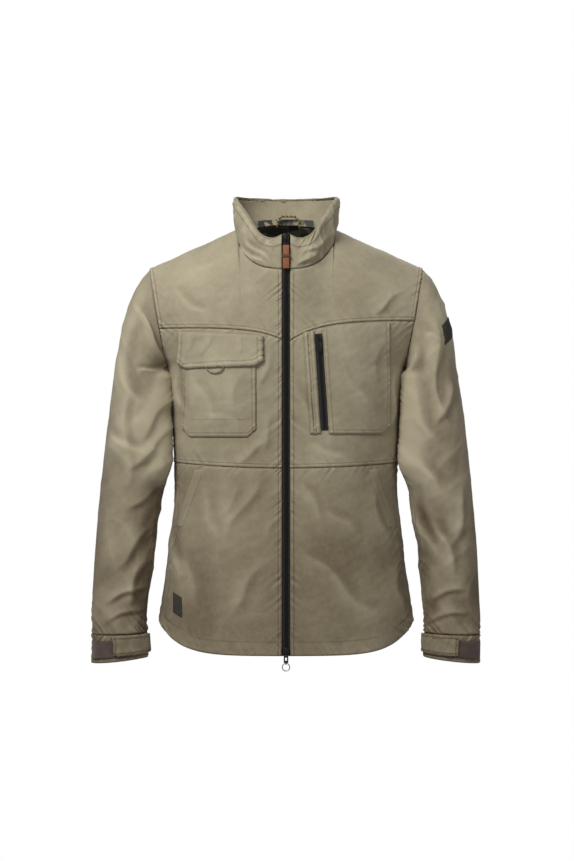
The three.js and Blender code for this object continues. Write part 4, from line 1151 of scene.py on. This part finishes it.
for side in sides:
    makeSleeve(side)
print("sleeves made")


# Patches on the fronts, laid on the worn surface
def frontAt(x, z):
    ax = np.abs(x)
    t = np.clip(heightShare(ax, z), 0, 1)
    below = -frontDepth(z) * roundOff(ax / halfWidth(z), body["section"])
    return np.stack([x, np.where(z > body["armpit"], sectionY(ax, z, t, False), below), z], -1)


def patchGrid(left, right, low, high, edges, fine=1.3, coarse=2.6, extra=None):
    # left and right give x over the height share, low and high give z over the width share
    wide = abs(right(0.5) - left(0.5))
    tall = abs(float(high(np.array(0.5))) - float(low(np.array(0.5))))
    band = min(9, wide / 3, tall / 3)
    s, r = steps(wide, fine, coarse, band), steps(tall, fine, coarse, band)
    s, r = np.meshgrid(s, r)
    z = low(s) + (high(s) - low(s)) * r
    points = frontAt(left(r) + (right(r) - left(r)) * s, z)
    relief = bodyRelief(points, False)
    if extra is not None:
        relief = relief + extra(points, s, r)
    return shaped(points, relief, edges, fromAxis(points))


def chamfer(z, wide, leftCut, rightCut, corner=14):
    return lambda s: z + corner * (np.maximum(0, 1 - s * wide / corner) * leftCut
                                   + np.maximum(0, 1 - (1 - s) * wide / corner) * rightCut)


patch = {"lift": 1.5, "cloth": 1.2}
flapPocket = {"left": -181, "right": -53, "bottom": -341, "top": -176}
flap = {"left": -186, "right": -42, "topLeft": -158, "topRight": -167, "bottomLeft": -220,
        "bottomRight": -216, "thick": 2.0, "lift": 3.7, "stand": 2.2}
zipPocket = {"top": (56, -160), "bottom": (67, -333), "right": 181, "low": -336, "half": 8, "facing": 18,
             "middle": (61, -247), "forward": 3.6}
handPocket = {"top": (152, -399), "bottom": (188, -500), "width": 15}
stitched = sewn("patch+", "patch+", "patch+", "patch")


def allRound(seam):
    return sewn(seam, seam, seam, seam)


def addPatch(name, grid, look, lift, thick, node, bodyName="shell"):
    # lays a patch on the shell and gives back its outer face
    outer = lifted(grid, lift + thick)
    addPanel(name, outer, look, node, thick, bodyName)
    return outer


def addShellPatch(name, grid, node):
    return addPatch(name, grid, "upper", patch["lift"], patch["cloth"], node)


def constant(value):
    return lambda s: value + 0 * s


def makeFlapPocket():
    wide = flapPocket["right"] - flapPocket["left"]

    def sag(p, s, r):
        folds = [
            (-165, -235, -120, -320, 9, 1.5), (-80, -225, -100, -300, 8, 1.3),
            (-140, -300, -70, -322, 6, 1.0)]
        return 1.6 * np.sin(math.pi * s) * np.sin(math.pi * np.minimum(1, r * 1.2)) + strokeRelief(p, folds)

    left, right, top = [constant(flapPocket[key]) for key in ("left", "right", "top")]
    grid = patchGrid(left, right, chamfer(flapPocket["bottom"], wide, 1, 0.9), top, stitched, extra=sag)
    outer = addShellPatch("flapPocketPatch", grid, "flap_pocket_patch")
    outline(outer, left=["edge", "patch"], right=["edge", "patch"], low=["edge", "patch", 30])


def makeFlap():
    wide = flap["right"] - flap["left"]

    def low(s):
        return chamfer(flap["bottomLeft"] + (flap["bottomRight"] - flap["bottomLeft"]) * s, wide, 0.8, 0.6)(s)

    def high(s):
        return flap["topLeft"] + (flap["topRight"] - flap["topLeft"]) * s

    def stand(p, s, r):
        creases = [
            (-127, -162, -150, -204, 5, 1.3), (-78, -162, -82, -206, 4, 1.2),
            (-160, -166, -172, -192, 5, 1.3)]
        ripple = 0.4 * np.sin(p[..., 0] / 11) * (1 - r)
        return flap["stand"] * (1 - r) ** 1.5 + strokeRelief(p, creases) + ripple

    grid = patchGrid(constant(flap["left"]), constant(flap["right"]), low, high,
                     sewn("patch+", "patch+", "patch+", "mouth"), extra=stand)
    top = addPatch(
        "pocketFlap", grid, "upper", flap["lift"], flap["thick"], "pocket_flap", "pocket_flap")
    outline(top, "pocket_flap", left=["edge", 8], right=["edge", 8], low=[1.8, 8])
    # pull loop under the edge
    x, z, half, drop = -124, -221.5, 15, 9
    stops = [(-1, 2), (-0.96, -1), (-0.6, -0.72 * drop), (0, -drop), (0.6, -0.72 * drop), (0.96, -1), (1, 2)]
    at = np.array([(x + a * half, z + b) for a, b in stops], float)
    curve = splineAt(at, np.linspace(0, 1, 40))
    path = frontAt(curve[:, 0], curve[:, 1]) + np.array([0, -1, 0]) * (flap["lift"] + 5)
    tubes, _, _ = twistedCord(path, 1.3, 7, 110)
    joinedTubes("flapPullLoop", tubes, ["cordKhaki"], "pocket_flap", "flap_pull_loop")
    pile = patchGrid(constant(-140), constant(-90), constant(-196), constant(-178), {})
    addPatch("flapHookPatch", pile, "pile", flap["lift"] - 0.9, 0.6, "flap_hook_patch",
             "pocket_flap")


def pocketZipX(z):
    (x0, z0), (x1, z1) = zipPocket["top"], zipPocket["bottom"]
    return x0 + (x1 - x0) * (z0 - z) / (z0 - z1)


def makeZipPocket():
    half, low = zipPocket["half"], zipPocket["low"]

    def top(x):
        return yokeCurve(1, x) - 3

    def left(r):
        return pocketZipX(low + (top(70) - low) * r) + half

    def edge(r):
        return pocketZipX(low + (top(50) - low) * r)

    wide = zipPocket["right"] - zipPocket["bottom"][0] - half

    def sag(p, s, r):
        folds = [(90, -210, 150, -300, 10, 1.4), (165, -170, 150, -250, 8, 1.2)]
        belly = 1.2 * np.sin(math.pi * s) * np.sin(math.pi * r)
        return (belly + strokeRelief(p, folds)) * smooth(s, 0.02, 0.2)

    grid = patchGrid(left, constant(zipPocket["right"]), chamfer(low, wide, 0, 1),
                     lambda s: top(left(1.0) + (zipPocket["right"] - left(1.0)) * s), stitched, extra=sag)
    outer = addShellPatch("zipPocketPatch", grid, "zip_pocket_patch")
    outline(outer, left=[2], right=["edge", "patch"], low=["edge"])
    grid = patchGrid(lambda r: edge(r) - half - zipPocket["facing"] + 1, lambda r: edge(r) - half,
                     constant(low), lambda s: top(39 + 9 * s), stitched)
    outer = addShellPatch("zipPocketFacing", grid, "zip_pocket_facing")
    outline(outer, left=["edge", 5.4], right=[2])


def makeWelts():
    half = handPocket["width"] / 2
    (x0, z0), (x1, z1) = handPocket["top"], handPocket["bottom"]

    def middle(side, r):
        return side * (x1 + (x0 - x1) * r)

    for side, name in sides.items():
        grid = patchGrid(lambda r: middle(side, r) - half, lambda r: middle(side, r) + half,
                         constant(z1), constant(z0), allRound("welt"))
        outer = addPatch(
            "handPocketWelt_" + name, grid, "body", -0.25, 0.75, "hand_pocket_welt_" + name)
        outline(outer, **{"left" if side > 0 else "right": ["edge"]})


badge = {"x": -190, "z": -632, "width": 15, "height": 34, "slant": 8}


def makeBadges():
    half, tall = badge["width"] / 2, badge["height"] / 2
    grid = patchGrid(constant(badge["x"] - half), constant(badge["x"] + half),
                     lambda s: badge["z"] - tall - badge["slant"] * s,
                     lambda s: badge["z"] + tall - badge["slant"] * s, allRound("tab+"))
    addPatch("hemBadge", grid, "badge", 1.0, 0.8, "hem_badge")
    points, outward, w, a = sleeveStrip(1, 0.245, 0.305, 22, 52, 1.2, 2)
    grid = shaped(points, sleeveRelief(1, points, w, a), allRound("tab+"), outward)
    addPanel("sleeveBadge", lifted(grid, 1.9), "badge", "sleeve_badge", 0.9, across=1)


makeFlapPocket()
makeFlap()
makeZipPocket()
makeWelts()
makeBadges()
print("pockets and badges made")

# Cuff tabs over strips of loop pile
tab = {"from": 83, "to": 174, "top": 1.06, "bottom": 1.76, "lift": 2.9, "thick": 1.6}
strip = {"from": 24, "to": 112, "top": 1.22, "bottom": 1.82, "lift": 1.3, "thick": 0.9}


def makeCuffTab(side):
    name = sides[side]
    levels, turns = (strip["top"], strip["bottom"]), (strip["from"], strip["to"])
    points, outward, w, a = sleeveStrip(side, *levels, *turns, 1.2, 2)
    grid = shaped(points, 0.5 + 0 * w, allRound("tab"), outward)
    addPatch("loopStrip_" + name, grid, "pile", strip["lift"], strip["thick"],
             "loop_strip_" + name, "sleeve_" + name)
    points, outward, w, a = sleeveStrip(side, tab["top"], tab["bottom"], tab["from"], tab["to"], 1.1, 2)
    free = a.min()
    round_ = np.clip((a - free) / 14, 0, 1)
    squeeze = 0.93 + 0.07 * np.sqrt(1 - (1 - round_) ** 2)
    middle = (tab["top"] + tab["bottom"]) / 2
    w = middle + (w - middle) * squeeze
    points = sleevePoint(side, w, a)
    relief = 0.5 + 0.7 * softNoise(points, 61 + side, 24) + 0.6 * creased(points, 63, 14, -0.6 * side)
    grid = shaped(points, relief + 0.8 * (1 - round_), allRound("tab+"), outward)
    node = "cuff_tab_" + name
    outer = addPatch("cuffTab_" + name, grid, "sleeve", tab["lift"], tab["thick"], node, node)
    rows[node] = []
    outline(outer, node, left=[2.2], right=[2.2], low=[2.2], high=[2.2])


for side in sides:
    makeCuffTab(side)
print("cuff tabs made")


# Hardware, modelled in the leaning frame of its zip
class Place:
    # a frame: where its own x, y and z point, in the jacket's millimetres
    def __init__(self, origin, axes, scale=1.0):
        self.origin, self.axes, self.scale = np.array(origin, float), np.array(axes, float), scale

    def put(self, points):
        return self.origin + np.asarray(points, float) * self.scale @ self.axes

    def inside(self, origin, scale=1.0):
        return Place(self.put([origin])[0], self.axes, self.scale * scale)


tilt = -math.atan2(body["lean"], body["collarTop"] - body["hem"])
zipPlace = Place((0, -body["depth"], body["collarTop"]), [
    (1, 0, 0), (0, math.cos(tilt), math.sin(tilt)), (0, -math.sin(tilt), math.cos(tilt))])
zipLength = math.hypot(body["collarTop"] - body["hem"], body["lean"])


def pocketPlace():
    def spot(x, z):
        return frontAt(np.array(float(x)), np.array(float(z)))
    (x0, z0), (x1, z1) = zipPocket["top"], zipPocket["bottom"]
    top, bottom = spot(x0, z0 - 2), spot(x1, z1 + 3)
    up = unit(top - bottom)
    (x, z), step = zipPocket["middle"], 0.5
    across = spot(x + step, z) - spot(x - step, z)
    out = unit(np.cross(across, spot(x, z + step) - spot(x, z - step)))
    right = unit(np.cross(up, out))
    back = -np.cross(right, up)
    place = Place(top - back * zipPocket["forward"], [right, back, up])
    return place, float(np.linalg.norm(top - bottom))


pocketZip, pocketZipLength = pocketPlace()


def clearSelection():
    bpy.ops.object.select_all(action="DESELECT")


def finishShape(name, bevel, segments=3):
    piece = bpy.context.object
    piece.name = name
    bpy.ops.object.transform_apply(location=True, rotation=True, scale=True)
    if bevel:
        modifier = piece.modifiers.new("roundedEdges", "BEVEL")
        modifier.width, modifier.segments, modifier.limit_method = bevel, segments, "ANGLE"
        bpy.ops.object.modifier_apply(modifier=modifier.name)
    return piece


def block(low, high, bevel, segments=3):
    # a block with rounded edges between two corners, in the frame's own millimetres
    clearSelection()
    middle = [(a + b) / 2 for a, b in zip(low, high)]
    bpy.ops.mesh.primitive_cube_add(size=1, location=middle)
    bpy.context.object.scale = [b - a for a, b in zip(low, high)]
    return finishShape("block", bevel, segments)


def rod(radius, length, middle, bevel, sides=24):
    clearSelection()
    bpy.ops.mesh.primitive_cylinder_add(vertices=sides, radius=radius, depth=length, location=middle,
                                        rotation=(0, math.pi / 2, 0))
    return finishShape("rod", bevel, 2)


def wire(major, minor, middle, turn=(0, math.pi / 2, 0), stretch=(1, 1, 1)):
    clearSelection()
    bpy.ops.mesh.primitive_torus_add(major_radius=major, minor_radius=minor, location=middle, rotation=turn,
                                     major_segments=40, minor_segments=12)
    bpy.context.object.scale = stretch
    return finishShape("wire", 0)


def assembled(name, parts, place, look, bodyName, nodes, angle=32):
    # joins the parts, puts them in the jacket and lets them ride
    clearSelection()
    for part in parts:
        part.select_set(True)
    bpy.context.view_layer.objects.active = parts[0]
    if len(parts) > 1:
        bpy.ops.object.join()
    piece = bpy.context.object
    piece.name = name
    mesh = piece.data
    points = np.empty(len(mesh.vertices) * 3)
    mesh.vertices.foreach_get("co", points)
    mesh.vertices.foreach_set("co", (place.put(points.reshape(-1, 3)) * mm).reshape(-1))
    mesh.update()
    mesh.materials.clear()
    mesh.materials.append(materials[look])
    bpy.ops.object.shade_smooth_by_angle(angle=math.radians(angle))
    if nodes:
        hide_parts(*nodes)
    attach(piece, bodyName)


slider = {
    "width": 12.4, "length": 14, "front": -3.4, "back": -0.9, "bar": -8.3, "below": 0.95, "halfBar": 0.55,
}
barY = slider["front"] - slider["below"]


def taper(piece, share, low, high):
    # narrows a piece towards its lower end
    for vertex in piece.data.vertices:
        t = np.clip((high - vertex.co.z) / (high - low), 0, 1)
        vertex.co.x *= 1 - share * float(t)


def rail(x0, x1, low, high, bevel=0.3):
    # a flat bar of the pull between two corners in front view
    left, right = sorted((x0, x1))
    return block((left, barY - slider["halfBar"], low), (right, barY + slider["halfBar"], high), bevel)


def makeSlider(name, place, bodyName, node):
    wide, long = slider["width"], slider["length"]
    plate = block((-wide / 2, slider["front"], -long), (wide / 2, slider["back"], 0), 1.1, 4)
    taper(plate, 0.22, -long, 0)
    crownHalf = wide / 2 - 2
    crown = block((-crownHalf, slider["front"] - 0.5, -long + 2), (crownHalf, slider["front"] + 0.3, -2), 0.5)
    taper(crown, 0.2, -long, 0)
    parts = [plate, crown]
    for edge in (-1, 1):
        x = sorted((edge * 3.6, edge * 4.7))
        parts.append(block((x[0], slider["back"] - 0.2, -long + 1), (x[1], 1.3, -1), 0.3))
    arch = wire(3.4, 0.75, (0, slider["front"] - 0.5, -7.3), (0, math.pi / 2, 0), (1, 0.88, 1))
    assembled(name, parts + [arch], place, "black", bodyName, [node])


def pullParts(width, railTo, plateTo):
    thick = slider["halfBar"]
    parts = [rod(thick, width - 0.6, (0, barY, slider["bar"]), 0.12)]
    parts += [rail(edge * 2.5, edge * width / 2, railTo - 0.4, slider["bar"] + thick) for edge in (-1, 1)]
    return parts + [rail(-width / 2, width / 2, plateTo, railTo, 0.4)]


leather = {"width": 11, "top": -20, "fold": -39, "bottom": -61, "lower": 11.5, "band": 15}


def leatherPart(low, high, bevel=0.9):
    part = block(low, high, bevel, 4)
    modifier = part.modifiers.new("fine", "SUBSURF")
    modifier.levels = modifier.render_levels = 2
    modifier.subdivision_type = "SIMPLE"
    bpy.ops.object.modifier_apply(modifier=modifier.name)
    for vertex in part.data.vertices:
        p = np.array(vertex.co)
        vertex.co.y += 0.16 * float(softNoise(p, 71, 14)) + 0.1 * float(softNoise(p, 72, 5))
    return part


def leatherPiece(name, part, look, nodes):
    assembled(name, [part], zipPlace, look, "leather_pull", nodes, 50)


def makeMainZipPulls():
    y = barY - 0.9
    half, lower = leather["width"] / 2, leather["lower"] / 2
    makeSlider("topSlider", zipPlace, "top_slider", "top_slider_body")
    parts = pullParts(8, -15.5, -18.5)
    parts.append(block((-2.5, barY - 0.4, leather["top"] - 5), (2.5, barY + 0.4, -18), 0.2))
    assembled("topPullFrame", parts, zipPlace, "black", "leather_pull", ["top_pull_frame"])
    fold, band = leather["fold"], leather["band"] / 2
    upper = leatherPart((-half, y - 1.5, fold), (half, y + 1.5, leather["top"]))
    leatherPiece("leatherUpper", upper, "leather", ["leather_pull_upper"])
    low = leatherPart((-lower, y - 1.3, leather["bottom"]), (lower, y + 1.3, fold - 0.3), 1.0)
    leatherPiece("leatherLower", low, "leather", ["leather_pull_lower"])
    bound = leatherPart((-band, y - 2.8, fold - 2.6), (band, y + 2.0, fold + 2.4), 0.8)
    leatherPiece("leatherBand", bound, "leatherDark", [])


def makeBottomPull():
    place = zipPlace.inside((0, 0, -zipLength + slider["length"] + 1))
    makeSlider("bottomSlider", place, "bottom_slider", "bottom_slider_body")
    parts = pullParts(8, -14.5, -17.4) + [rail(edge * 1.5, edge * 4, -23, -17) for edge in (-1, 1)]
    parts.append(rail(-4, 4, -26.5, -22.5, 0.4))
    parts.append(wire(2.1, 0.7, (0, barY, -27.5), (0, math.pi / 2, 0)))
    assembled("bottomPull", parts, place, "black", "bottom_pull", ["bottom_pull"])
    ring = wire(6.4, 0.8, (0, barY, -33.7), (math.pi / 2, 0, 0))
    assembled("bottomPullRing", [ring], place, "steel", "pull_ring", ["bottom_pull_ring"])


def makePocketPull():
    place = pocketZip.inside((0, -0.75, -2), 0.74)
    makeSlider("pocketSlider", place, "pocket_slider", "pocket_slider_body")
    parts = pullParts(9, -15, -41)
    parts.append(block((-3, barY - 0.9, -38), (3, barY + 0.7, -19), 0.5))
    assembled("pocketPull", parts, place, "black", "pocket_pull", ["pocket_pull"])


makeMainZipPulls()
makeBottomPull()
makePocketPull()
print("sliders and pulls made")

tooth = {"pitch": 2.9, "height": 1.5, "bevel": 0.28}


def makeTeeth(name, place, length, half, front, back, node):
    # one bevelled tooth, copied along both sides of the chain by turns
    part = block((-0.7, front, -tooth["height"] / 2), (half, back, tooth["height"] / 2), tooth["bevel"], 1)
    mesh = part.data
    points = np.array([v.co for v in mesh.vertices])
    faces = [list(p.vertices) for p in mesh.polygons]
    bpy.data.objects.remove(part)
    vertices, allFaces, count = [], [], 0
    for side in (-1, 1):
        start = -3 - (tooth["pitch"] / 2 if side > 0 else 0)
        for z in np.arange(start, -length + 2, -tooth["pitch"]):
            copy = points * np.array([side, 1, 1]) + np.array([0, 0, z])
            vertices.append(copy)
            allFaces += [[i + count for i in (face if side > 0 else face[::-1])] for face in faces]
            count += len(points)
    piece = meshObject(name, place.put(np.concatenate(vertices)), allFaces, ["teeth"], smoothed=False)
    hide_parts(node)
    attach(piece, "shell")


def makeTape(name, place, x0, x1, low, high, y, thick, node):
    # ribbed tape with a thicker cord beside the teeth
    x, z = np.meshgrid(np.linspace(x0, x1, 22), np.arange(low, high + 0.1, 1.45))
    rib = 0.12 * np.cos(2 * math.pi * z / tooth["pitch"]) + 0.25 * hump(np.abs(x) - 3.4, 0.7)
    points = place.put(np.stack([x, y - rib, z], -1))
    grid = shaped(points, 0 * x, {}, -place.axes[1] + 0 * points)
    piece = clothPiece(name, grid, "tape", thick)
    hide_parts(node)
    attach(piece, "shell")


makeTape("zipTape_right", zipPlace, -15.5, -0.2, -zipLength, -2, 2.4, 0.7, "zip_tape_right")
makeTape("zipTape_left", zipPlace, 0.2, 15.5, -zipLength, -2, 2.4, 0.7, "zip_tape_left")
makeTape("pocketZipTape", pocketZip, -6.6, 6.6, -pocketZipLength, 0, 1.1, 0.6, "pocket_zip_tape")
makeTeeth("zipTeeth", zipPlace, zipLength, 2.9, -0.4, 1.8, "zip_chain")
makeTeeth("pocketZipTeeth", pocketZip, pocketZipLength, 1.9, -0.9, 0.8, "pocket_zip_chain")
print("zips made")

# Blank label inside the back of the neck
neckLabel = {"left": 4, "right": 25, "top": 48, "height": 10, "in": 8.4}


def makeLabel():
    x, z = np.meshgrid(np.linspace(neckLabel["right"], neckLabel["left"], 16),
                       np.linspace(neckLabel["top"] - neckLabel["height"], neckLabel["top"], 10))
    points = np.stack([x, sectionY(np.abs(x), z, heightShare(np.abs(x), z), True), z], -1)
    grid = shaped(points, 0.2 * softNoise(points, 81, 12), {}, fromAxis(points))
    addPanel("neckLabel", lifted(grid, -neckLabel["in"]), "badge", "neck_label", 0.6)


makeLabel()

# Topstitching, one piece for each body that it is sewn to
for name, lines in rows.items():
    if not lines:
        continue
    piece = stitchPiece("topstitch_" + name, lines)
    if name in ("sleeve_left", "sleeve_right"):
        joinAtShoulder(piece)
    else:
        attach(piece, name)
print("stitches made")


# Studio: white floor and surround, soft lights
def seenWhite(tree, glow):
    # full strength for the camera, a share of it for everything else
    path = addNode(tree, "ShaderNodeLightPath").outputs["Is Camera Ray"]
    return weighted(tree, [(path, 1 - glow)], glow)


def makeStudio():
    white, tree = newMaterial("studioWhite")
    strength = seenWhite(tree, studio["floorLight"])
    shader = addNode(tree, "ShaderNodeEmission", {"Color": (1, 1, 1, 1), "Strength": strength})
    addNode(tree, "ShaderNodeOutputMaterial", {"Surface": shader.outputs[0]})
    clearSelection()
    bpy.ops.mesh.primitive_plane_add(size=30, location=(0, 4, studio["floorHeight"]))
    floor = bpy.context.object
    floor.name = "studioFloor"
    floor.data.materials.append(white)
    world = bpy.data.worlds.new("studioAir")
    world.use_nodes = True
    tree = world.node_tree
    tree.nodes.clear()
    strength = seenWhite(tree, studio["air"])
    sky = addNode(tree, "ShaderNodeBackground", {"Color": (1, 1, 1, 1), "Strength": strength})
    addNode(tree, "ShaderNodeOutputWorld", {"Surface": sky.outputs[0]})
    bpy.context.scene.world = world
    for name, place, size, watts in studio["lights"]:
        data = bpy.data.lights.new(name, "AREA")
        data.shape = "RECTANGLE"
        data.size, data.size_y = size
        data.energy = watts
        lamp = bpy.data.objects.new(name, data)
        lamp.location = place
        lamp.rotation_euler = (Vector((0, 0, -0.3)) - Vector(place)).to_track_quat("-Z", "Y").to_euler()
        bpy.context.scene.collection.objects.link(lamp)


studio = {
    "floorLight": 0.3, "floorHeight": -1.25, "air": 0.2,
    "lights": [
        ("keyLight", (-1.3, -1.9, 1.7), (1.3, 0.9), 62),
        ("fillLight", (2.2, -2.2, 0.7), (1.4, 1.4), 12),
        ("backLight", (0.6, 2.6, 1.9), (1.6, 1.2), 40),
    ],
}
makeStudio()
bpy.context.scene.view_settings.view_transform = "Standard"
print("studio made")
